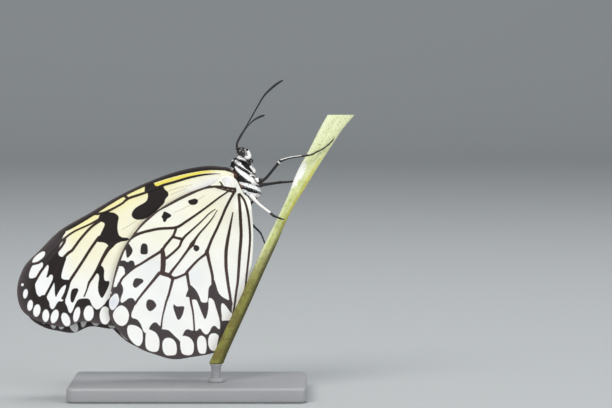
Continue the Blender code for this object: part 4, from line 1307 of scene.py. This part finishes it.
def buildTube(name, node, route, sides, step, finish, shape=None, white=None):
    # shape changes the radius and white marks the skin, from the length run and the total
    path = curve(route, step)
    run = runAlong(path)
    if shape:
        path[:, 3] *= shape(run, run[-1])
    rings, ways = tubeRings(path, sides)
    piece = finishPiece(name, loft(rings), finish, [node])
    marks = white(run[:, None], run[-1], ways) if white else -1.0
    store(piece, "white", np.broadcast_to(marks, (len(run), sides)).ravel())
    return piece


def mirrored(route):
    return [(out, down, -side, radius) for out, down, side, radius in route]


def palpWhite(run, total, ways):
    start, full, black = head["palpTip"]
    return head["palpWhite"] - black * ease(run, total - start, total - full)


def coilShape(run, total):
    return 1.0 + head["grooveDepth"] * np.sin(run * head["coilGrooves"])


def buildMouth():
    palpSkin = coatFinish("palpScales", False)
    for word, route in (("Left", head["palp"]), ("Right", mirrored(head["palp"]))):
        piece = buildTube("palp" + word, "palp_" + word.lower(), route, head["palpSides"], head["palpStep"],
                          palpSkin, white=palpWhite)
        store(piece, "rust", np.zeros(len(piece.data.vertices)))
    out, down = head["coilCentre"]
    size = round(head["coilPoints"] * head["coilTurns"])
    route = []
    for i in range(size + 1):
        part = i / size
        turn = math.radians(head["coilStart"]) + part * head["coilTurns"] * math.tau
        reach = head["coilRadius"] * (1.0 - head["coilNarrows"] * part)
        tube = head["coilTube"] * (1.0 - head["coilThins"] * part)
        route.append((out + reach * math.cos(turn), down - reach * math.sin(turn), 0.0, tube))
    buildTube("proboscisCoil", "proboscis", route, head["coilSides"], head["coilStep"],
              shellFinish("proboscisShell"), shape=coilShape)


# Antennae

antennae = {
    # out, down, side, radius
    "right": [
        (0.75, -9.7, -0.6, 0.22), (0.95, -11.2, -0.9, 0.16), (0.15, -13.1, -1.3, 0.16),
        (-1.4, -15.5, -1.8, 0.16), (-2.9, -18.1, -2.3, 0.17), (-4.9, -21.6, -3.0, 0.19),
        (-6.4, -24.1, -3.4, 0.22), (-7.95, -25.8, -3.7, 0.28), (-9.7, -27.3, -4.0, 0.31),
        (-11.1, -28.2, -4.1, 0.24), (-11.7, -28.5, -4.2, 0.1),
    ],
    "left": [
        (0.75, -9.7, 0.6, 0.22), (0.75, -11.2, 1.3, 0.16), (-0.2, -13.0, 3.2, 0.16),
        (-1.3, -14.9, 6.6, 0.17), (-2.6, -16.4, 10.6, 0.19), (-4.0, -17.4, 14.6, 0.26),
        (-5.2, -17.9, 17.6, 0.31), (-6.0, -18.1, 19.3, 0.24), (-6.3, -18.2, 20.0, 0.1),
    ],
    "sides": 14,
    "step": 0.07,
    "knob": (0.9, 0.5),               # how much thicker the root is, and how far along
    "ringLength": 0.42,
    "ringSwell": 0.1,
    "ringDip": (0.12, 0.12),          # the groove between two rings: depth and reach
}


def antennaShape(run, total):         # a knob at the root, then one swelling for each ring
    ring = run / antennae["ringLength"] % 1.0
    (high, far), (deep, reach) = antennae["knob"], antennae["ringDip"]
    knob = 1.0 + high * np.exp(-(run / far) ** 2)
    return knob * (1.0 + antennae["ringSwell"] * np.sin(ring * math.pi) - deep * np.exp(-(ring / reach) ** 2))


def buildAntennae():
    finish = shellFinish("antennaShell")
    for word in ("right", "left"):
        buildTube("antenna" + word.capitalize(), "antenna_" + word, antennae[word], antennae["sides"],
                  antennae["step"], finish, shape=antennaShape)


# Legs

foreleg = {
    "route": [
        (-2.6, -2.6, 1.5, 0.4), (-3.9, -3.5, 2.25, 0.34), (-2.9, -5.1, 2.55, 0.28), (-1.8, -6.9, 2.3, 0.2),
    ],
    "foot": 0.75, "knee": 0.4, "line": (0.3, 0.7), "root": 0.3, "width": 0.3, "band": -1.0,
}
legs = {
    # routes in out, down, side and radius; then the parts of the length where the knee, the foot, the painted
    # highlight line and the white root marks are, the width of the highlight line, and the strength of the
    # white band at the knee
    "foreRight": {**foreleg, "node": "foreleg_right", "route": mirrored(foreleg["route"])},
    "foreLeft": {**foreleg, "node": "foreleg_left"},
    "midRight": {
        "node": "midleg_right",
        "route": [
            (-3.2, -0.9, -1.2, 1.0), (-5.3, -1.25, -1.6, 0.85), (-6.2, -1.5, -1.95, 0.45),
            (-7.4, -2.5, -2.3, 0.38), (-10.6, -6.4, -3.2, 0.36), (-11.4, -6.95, -3.3, 0.34),
            (-14.1, -7.7, -3.0, 0.27), (-18.95, -8.3, -1.9, 0.26), (-20.7, -9.05, -0.95, 0.23),
            (-22.6, -10.0, -0.75, 0.21), (-24.6, -11.7, -0.75, 0.2), (-25.4, -12.8, -0.8, 0.11),
        ],
        "foot": 0.69, "knee": 0.365, "line": (0.37, 0.62), "root": 0.12, "width": -0.84, "band": 0.3,
    },
    "midLeft": {
        "node": "midleg_left",
        "route": [
            (-3.2, -0.3, 1.2, 1.0), (-5.2, 0.0, 1.7, 0.8), (-6.2, 0.0, 2.3, 0.5),
            (-10.0, -0.3, 5.8, 0.36), (-10.7, -0.4, 5.9, 0.34), (-14.1, -0.8, 3.6, 0.27),
            (-16.8, -1.6, 2.0, 0.24), (-18.6, -4.2, 1.9, 0.2), (-19.9, -6.4, 1.9, 0.11),
        ],
        "foot": 0.72, "knee": 0.42, "line": (0.44, 0.6), "root": 0.12, "width": -0.8, "band": -1.0,
    },
    "hindRight": {
        "node": "hindleg_right",
        "route": [
            (-2.8, 2.6, -1.2, 0.8), (-4.2, 4.1, -2.2, 0.47), (-5.6, 5.3, -3.5, 0.36),
            (-8.6, 7.35, -6.6, 0.32), (-9.1, 7.8, -6.9, 0.33), (-10.3, 8.5, -4.2, 0.28),
            (-11.0, 8.9, -2.3, 0.24), (-11.4, 9.1, -1.6, 0.21), (-11.9, 9.2, -1.35, 0.11),
        ],
        "foot": 0.83, "knee": 0.56, "line": (-0.1, 0.54), "root": -0.1, "width": 0.25, "band": -1.0,
    },
    "hindLeft": {
        "node": "hindleg_left",
        "route": [
            (-2.8, 2.4, 1.1, 0.9), (-3.3, 4.0, 1.5, 0.6), (-2.7, 5.6, 1.75, 0.34),
            (-2.5, 8.0, 1.8, 0.28), (-3.0, 10.4, 1.7, 0.29), (-3.7, 11.3, 1.6, 0.28),
            (-5.45, 13.05, 1.1, 0.25), (-6.3, 14.9, 0.4, 0.22), (-7.2, 17.4, 0.1, 0.2),
            (-7.6, 18.9, -0.1, 0.11),
        ],
        "foot": 0.7, "knee": 0.5, "line": (-0.1, 0.4), "root": -0.1, "width": 0.1, "band": -1.0,
    },
}
legDetail = {
    "sides": 20,
    "step": 0.09,
    "kneeSwell": 0.22,
    "kneeReach": 0.02,
    "footJoints": 5,
    "jointDip": 0.3,
    "jointNarrow": 6.0,
    "highlightWay": (0.55, 0.83),          # the painted highlight line lies outside and above
    "highlightEnds": 0.02,
    "rootWhite": 0.3,
    "rootMottle": (0.4, 3.5, 2.0),    # strength, then waves along and around
    "rootEnd": 0.06,
    "noWhite": 3.0,
    "bandFades": 45.0,
    "spineStart": 0.6,                # past the knee, and how far from the tip they stop
    "spineEnd": 0.3,
    "spineStep": 0.5,
    "footSpines": 0.6,                # they stand closer on the foot
    "spineSpread": 0.6,
    "spineShift": 0.4,
    "spineSits": 0.8,
    "spineLean": (0.8, 0.6),          # along the leg and away from it
    "clawSpread": 0.35,
    "sizes": (0.75, 1.1),
    "spine": (0.48, 0.035, 0.1),      # length, width and lift
    "claw": (0.6, 0.075, 0.5),
}


def legShape(leg, run, total):        # a thicker knee, and a dip at each joint of the foot
    part = run / total
    joint = (part - leg["foot"]) / (1.0 - leg["foot"]) * legDetail["footJoints"]
    dip = np.exp(-((joint - np.round(joint)) * legDetail["jointNarrow"]) ** 2)
    knee = np.exp(-((part - leg["knee"]) / legDetail["kneeReach"]) ** 2)
    return 1.0 + legDetail["kneeSwell"] * knee - legDetail["jointDip"] * np.where(joint > -0.3, dip, 0.0)


def legWhiteAndHighlight(leg, side, run, total, ways):
    part = run / total
    outward, above = legDetail["highlightWay"]
    start, end = leg["line"]
    ends, none = legDetail["highlightEnds"], legDetail["noWhite"]
    # the white line along the upper, outer side is a painted highlight
    line = ease(part, start, start + ends) * (1.0 - ease(part, end - ends, end))
    line = ways[..., 1] * side * outward + ways[..., 2] * above + leg["width"] - none * (1.0 - line)
    strength, along, around = legDetail["rootMottle"]
    root = legDetail["rootWhite"] + strength * np.sin(run * along + ways[..., 2] * around)
    root = root - none * ease(part, leg["root"] - legDetail["rootEnd"], leg["root"])
    band = leg["band"] - legDetail["bandFades"] * np.abs(part - leg["knee"])
    return np.maximum(np.maximum(line, root), band)


def legHairs(leg):                    # two rows of spines below the knee, and two claws at the tip
    path = curve(leg["route"], legDetail["step"])
    spots, along, across, beside = tubeFrames(path)
    run = runAlong(path)
    rows = []
    at, count = leg["knee"] * run[-1] + legDetail["spineStart"], 0
    lean, off = legDetail["spineLean"]
    while at < run[-1] - legDetail["spineEnd"]:
        i = int(np.searchsorted(run, at))
        for way in (-1, 1):
            turn = math.pi / 2 + way * legDetail["spineSpread"] + legDetail["spineShift"] * (count % 2)
            normal = across[i] * math.cos(turn) + beside[i] * math.sin(turn)
            root = spots[i] + normal * path[i, 3] * legDetail["spineSits"] * mm
            rows.append((root, along[i] * lean + normal * off, normal, "spine"))
        at += legDetail["spineStep"] * (legDetail["footSpines"] if at > leg["foot"] * run[-1] else 1.0)
        count += 1
    for way in (-1, 1):
        rows.append((spots[-3], along[-3] + across[-3] * legDetail["clawSpread"] * way, beside[-3], "claw"))
    return rows


def buildLegs():
    finish = shellFinish("legShell")
    rows = []
    for name, leg in legs.items():
        side = -1.0 if "Right" in name else 1.0
        shape, white = partial(legShape, leg), partial(legWhiteAndHighlight, leg, side)
        buildTube("leg" + name[0].upper() + name[1:], leg["node"], leg["route"], legDetail["sides"],
                  legDetail["step"], finish, shape=shape, white=white)
        rows += legHairs(leg)
    roots, lie, rise = (np.array([row[k] for row in rows]) for k in range(3))
    sizes = np.array([legDetail[row[3]] for row in rows]) * (mm, mm, 1.0)
    sizes[:, 0] *= draw.uniform(*legDetail["sizes"], len(rows))
    maps = draw.uniform(0.05, 0.95, (len(rows), 2))
    black = {"white": np.full(len(rows), -1.0)}
    growTufts("legSpines", roots, lie, rise, sizes, black, maps, finish)


# Stem

stem = {
    # out, down, side, width, thickness
    "stations": [
        (-27.3, -19.0, 0.7, 7.3, 1.3), (-24.5, -15.0, 0.6, 6.2, 1.3), (-21.6, -10.0, 0.45, 5.4, 1.3),
        (-18.7, -5.0, 0.3, 4.75, 1.35), (-16.1, 0.0, 0.2, 3.9, 1.4), (-13.45, 5.0, 0.1, 3.0, 1.5),
        (-10.95, 10.0, -0.2, 2.8, 1.5), (-8.65, 15.0, -1.1, 3.2, 1.5), (-6.3, 20.0, -2.4, 3.3, 1.5),
        (-4.0, 25.0, -3.4, 3.3, 1.5), (-1.8, 30.0, -3.8, 3.35, 1.5), (1.2, 36.5, -4.1, 3.45, 1.5),
        (5.0, 44.6, -4.2, 3.7, 1.5), (6.5, 48.0, -4.2, 3.9, 1.5),
    ],
    "sides": 96,
    "step": 0.35,
    "ribs": 26,
    "ribDepth": 0.045,
    "groove": (0.16, 0.05, 0.16),     # down each face: depth, place across and reach
    "endRim": 0.25,
    "endDip": 0.3,
    "swell": (0.25, 0.055, 0.3),      # the whitish patch stands a little proud: place along, reach and height
    "fibreTurns": 2.0,
    "fibreRun": 3.0,
    # the tones start and end at parts of the length, or across from -1 at the left rim to 1 at the right
    "paleMost": 0.75,
    "paleEnd": (0.0, 0.42),
    "lowStart": (0.38, 0.74),
    # olive-brown on the right side lower down: partly the stem's own colour and partly painted shade
    "oliveAndShadeStart": (0.26, 0.58),
    "oliveAndShadeAcross": (-0.05, 0.85),
    "yellowMost": 0.75,
    "yellowAcross": (0.35, 0.7),
    "yellowLess": 0.6,
    "yellowRim": (0.75, 1.0),
    "yellowStart": (0.12, 0.26),
    "yellowEnd": (0.38, 0.56),
    # painted light on the left rim, the lit side, in the upper part of the stem
    "paintedLightMost": 0.8,
    "paintedLightAcross": (0.45, 0.85),
    "paintedLightEnd": (0.48, 0.68),
    "whitePatchAcross": (1.1, 0.15),
    "pale": srgb(0.87, 0.89, 0.74),
    "light": srgb(0.84, 0.86, 0.61),
    "green": srgb(0.72, 0.75, 0.43),
    "deep": srgb(0.50, 0.49, 0.20),
    # olive-brown, partly the stem's own and partly painted shade on the right side
    "oliveAndShade": srgb(0.25, 0.235, 0.03),
    "brown": srgb(0.36, 0.28, 0.09),
    "yellow": srgb(0.80, 0.76, 0.26),
    "whitePatch": srgb(0.94, 0.94, 0.91),
    "fleck": srgb(0.46, 0.51, 0.27),
    "pith": srgb(0.80, 0.82, 0.60),
    "fibreScale": 6.0,
    "broadScale": 260.0,
    "speckScale": 1700.0,
    "grainScale": 3600.0,
    # how far the fibres and the broad mottling move the edge of each tone, and the most of the dark ones
    "paleMottle": 0.5,
    "deepMottle": 0.4,
    "brownMost": 0.65,
    "oliveAndShadeMottle": 0.5,
    "yellowMottle": 0.2,
    "paintedLightMottle": 0.2,
    "fleckMost": 0.4,
    "whitePatchMottle": (0.8, 0.9, 0.3),   # specks, grains and broad mottling
    "whitePatchFade": (0.38, 0.55),
    "heights": (0.5, 0.4, 0.25),      # fibres, specks and grains of the white patch
    "depth": 0.0001,
    "rough": 0.45,
    "speckRough": 0.2,
}


def stemFinish():
    look = Finish("stemFibre", {"Specular IOR Level": 0.4, "Coat Weight": 0.12, "Coat Roughness": 0.35})
    spot = look.spot()
    low = look.attribute("low")
    fibres = look.noise(look.vector("grain"), stem["fibreScale"], 4.0)
    broad = look.noise(spot, stem["broadScale"], 4.0)
    specks = look.noise(spot, stem["speckScale"], 4.0)
    grains = look.noise(spot, stem["grainScale"], 2.0)
    patches, strands = broad - 0.5, fibres - 0.5
    mottle = look.fade(broad * 0.6 + specks * 0.4 + low * 0.12, 0.55, 0.66)
    colour = look.blend(look.fade(fibres * 0.5 + broad * 0.5, 0.35, 0.65), stem["green"], stem["light"])
    for factor, tone in (
        (look.attribute("pale") + patches * stem["paleMottle"], "pale"),
        (low + strands * stem["deepMottle"], "deep"),
        (mottle * low * stem["brownMost"], "brown"),
        # the stem's own olive-brown and painted shade on the right side
        (look.attribute("oliveAndShade") + patches * stem["oliveAndShadeMottle"] * low, "oliveAndShade"),
        (look.attribute("yellow") + patches * stem["yellowMottle"], "yellow"),
        # painted light on the left rim
        (look.attribute("rim") + strands * stem["paintedLightMottle"], "pale"),
        (look.fade(specks, 0.54, 0.66) * stem["fleckMost"], "fleck"),
    ):
        colour = look.blend(factor, colour, stem[tone])
    bySpecks, byGrains, byPatches = stem["whitePatchMottle"]
    whitePatch = look.attribute("whitePatch") + (specks - 0.5) * bySpecks + (grains - 0.5) * byGrains
    whitePatch = look.fade(whitePatch + patches * byPatches, *stem["whitePatchFade"])
    colour = look.blend(whitePatch, colour, stem["whitePatch"])
    colour = look.blend(look.attribute("cut"), colour, stem["pith"])
    ofFibres, ofSpecks, ofGrains = stem["heights"]
    height = fibres * ofFibres + specks * ofSpecks + grains * ofGrains * whitePatch
    rough = stem["rough"] + specks * stem["speckRough"]
    return look.show(colour=colour, roughness=rough, normal=look.bump(height, stem["depth"], 0.8))


def buildStem():
    path = curve(stem["stations"], stem["step"])
    turns = np.linspace(0.0, math.tau, stem["sides"], endpoint=False)
    run = runAlong(path)
    part = (run / run[-1])[:, None]
    out, down, side, width, thick = (path[:, k, None] for k in range(5))
    left = np.cos(turns)                  # from 1 at the left rim to -1 at the right one
    at, reach, high = stem["swell"]
    whitePatch = np.exp(-((part - at) / reach) ** 2)
    rib = stem["ribDepth"] * (np.cos(turns * stem["ribs"]) - 1.0)
    deep, middle, near = stem["groove"]
    groove = deep * np.exp(-((left - middle) / near) ** 2)
    across = (width / 2 + rib) * left + high * whitePatch * np.clip(left, 0.0, 1.0) ** 2
    rise = (thick / 2 + rib - groove) * np.sin(turns)
    grid = np.stack(np.broadcast_arrays(out + across, down, side + rise), -1)
    bm = loft(placeAll(grid.reshape(-1, 3)).reshape(grid.shape))
    ends = [face for face in bm.faces if len(face.verts) > 4]
    room = stem["endRim"] * mm
    bmesh.ops.inset_individual(bm, faces=ends, thickness=room, depth=-stem["endDip"] * room)
    piece = finishPiece("stem", bm, stemFinish(), ["perch_stem"])
    extra = len(piece.data.vertices) - grid[..., 0].size
    yellow = ease(-left, *stem["yellowAcross"]) * (1.0 - stem["yellowLess"] * ease(-left, *stem["yellowRim"]))
    yellow = yellow * ease(part, *stem["yellowStart"]) * (1.0 - ease(part, *stem["yellowEnd"]))
    slope, shift = stem["whitePatchAcross"]
    paint = {
        "pale": stem["paleMost"] * (1.0 - ease(part, *stem["paleEnd"])),
        "low": ease(part, *stem["lowStart"]),
        # the stem's own olive-brown and painted shade on the right side, lower down
        "oliveAndShade": ease(part, *stem["oliveAndShadeStart"]) * ease(-left, *stem["oliveAndShadeAcross"]),
        "yellow": stem["yellowMost"] * yellow,
        # painted light on the left rim
        "rim": stem["paintedLightMost"] * ease(left, *stem["paintedLightAcross"]) * (1.0 - ease(part, *stem["paintedLightEnd"])),
        "whitePatch": whitePatch * np.clip(left * slope + shift, 0.0, 1.0),
        "cut": 0.0,
    }
    for key, values in paint.items():
        values = np.broadcast_to(values, grid.shape[:2]).ravel()
        store(piece, key, np.concatenate([values, np.full(extra, float(key == "cut"))]))
    turned = stem["fibreTurns"] * np.stack([left, np.sin(turns)])
    grain = np.stack(np.broadcast_arrays(*turned, part * stem["fibreRun"]), -1)
    store(piece, "grain", np.vstack([grain.reshape(-1, 3), np.zeros((extra, 3))]))


# Stand

stand = {
    "length": 64.0,
    "width": 36.0,
    "height": 4.0,
    "round": 0.8,
    "rodRadius": 1.3,
    "cornerRound": 2.2,
    "rimAngle": 1.2,
    "gap": 0.1,                       # above the base and below the stem
    "collar": (0.9, 0.5, 1.0),        # how far out, and the heights of its rim and its top
    "cup": (0.3, 0.9),                # under the stem: how far out, and its height
    "colour": srgb(0.60, 0.60, 0.605),
    "dark": srgb(0.52, 0.52, 0.53),
    "darkMost": 0.6,
    "peelScale": 2600.0,
    "peelDepth": 0.00002,
    "broadScale": 60.0,
    "rough": 0.42,
    "peelRough": 0.12,
    "sharp": math.radians(40),
}


def standFinish():
    look = Finish("standPaint", {"Metallic": 0.0, "Coat Weight": 0.1})
    spot = look.spot()
    peel = look.noise(spot, stand["peelScale"], 3.0)
    broad = look.noise(spot, stand["broadScale"], 3.0)
    colour = look.blend(broad * stand["darkMost"], stand["colour"], stand["dark"])
    rough = stand["rough"] + peel * stand["peelRough"]
    return look.show(colour=colour, roughness=rough, normal=look.bump(peel, stand["peelDepth"], 0.8))


def buildStand():
    finish = standFinish()
    bm = bmesh.new()
    size = Matrix.Diagonal((stand["length"] * mm, stand["width"] * mm, stand["height"] * mm, 1.0))
    bmesh.ops.create_cube(bm, size=1.0, matrix=Matrix.Translation((0, 0, stand["height"] / 2 * mm)) @ size)
    corners = [edge for edge in bm.edges if abs(edge.verts[0].co.z - edge.verts[1].co.z) > mm]
    bevel = {"affect": "EDGES", "profile": 0.5, "material": -1}
    bmesh.ops.bevel(bm, geom=corners, offset=stand["cornerRound"] * mm, segments=8, **bevel)
    rims = [edge for edge in bm.edges if edge.calc_face_angle() > stand["rimAngle"]]
    bmesh.ops.bevel(bm, geom=rims, offset=stand["round"] * mm, segments=5, **bevel)
    base = finishPiece("standBase", bm, finish, ["stand_base"])
    base.data.set_sharp_from_angle(angle=stand["sharp"])

    out, down, side = stem["stations"][-1][:3]
    foot = stand["height"] + stand["gap"]
    top = layout["wingBaseHeight"] - down - stand["gap"]
    middle = Vector((layout["wingBaseOut"] - out, side, 0.0)) * mm
    radius = stand["rodRadius"]
    flare, rim, tall = stand["collar"]
    lip, cup = stand["cup"]
    profile = [
        (0.0, foot), (radius + flare, foot), (radius + flare, foot + rim),
        (radius + flare / 2, foot + (rim + tall) / 2), (radius, foot + tall), (radius, top - cup),
        (radius + lip, top - cup / 2), (radius + lip, top), (0.0, top),
    ]
    bm = bmesh.new()
    verts = [bm.verts.new(middle + Vector((reach, 0.0, height)) * mm) for reach, height in profile]
    edges = [bm.edges.new(pair) for pair in zip(verts[:-1], verts[1:])]
    turn = {"cent": middle, "axis": (0, 0, 1), "angle": math.tau, "steps": 48, "use_merge": True}
    bmesh.ops.spin(bm, geom=verts + edges, **turn)
    bmesh.ops.remove_doubles(bm, verts=bm.verts, dist=1e-6)
    bmesh.ops.recalc_face_normals(bm, faces=bm.faces)
    rod = finishPiece("standRod", bm, finish, ["stand_rod"])
    rod.data.set_sharp_from_angle(angle=stand["sharp"])


buildStage()
buildStudio()
print("stage, lights and camera are in place")
buildWings()
print("wings are painted and in place")
buildBody()
buildCoat()
buildEyes()
buildMouth()
print("body, coat, eyes and mouth are in place")
buildAntennae()
buildLegs()
print("antennae and legs are in place")
buildStem()
buildStand()
print("stem and stand are in place")
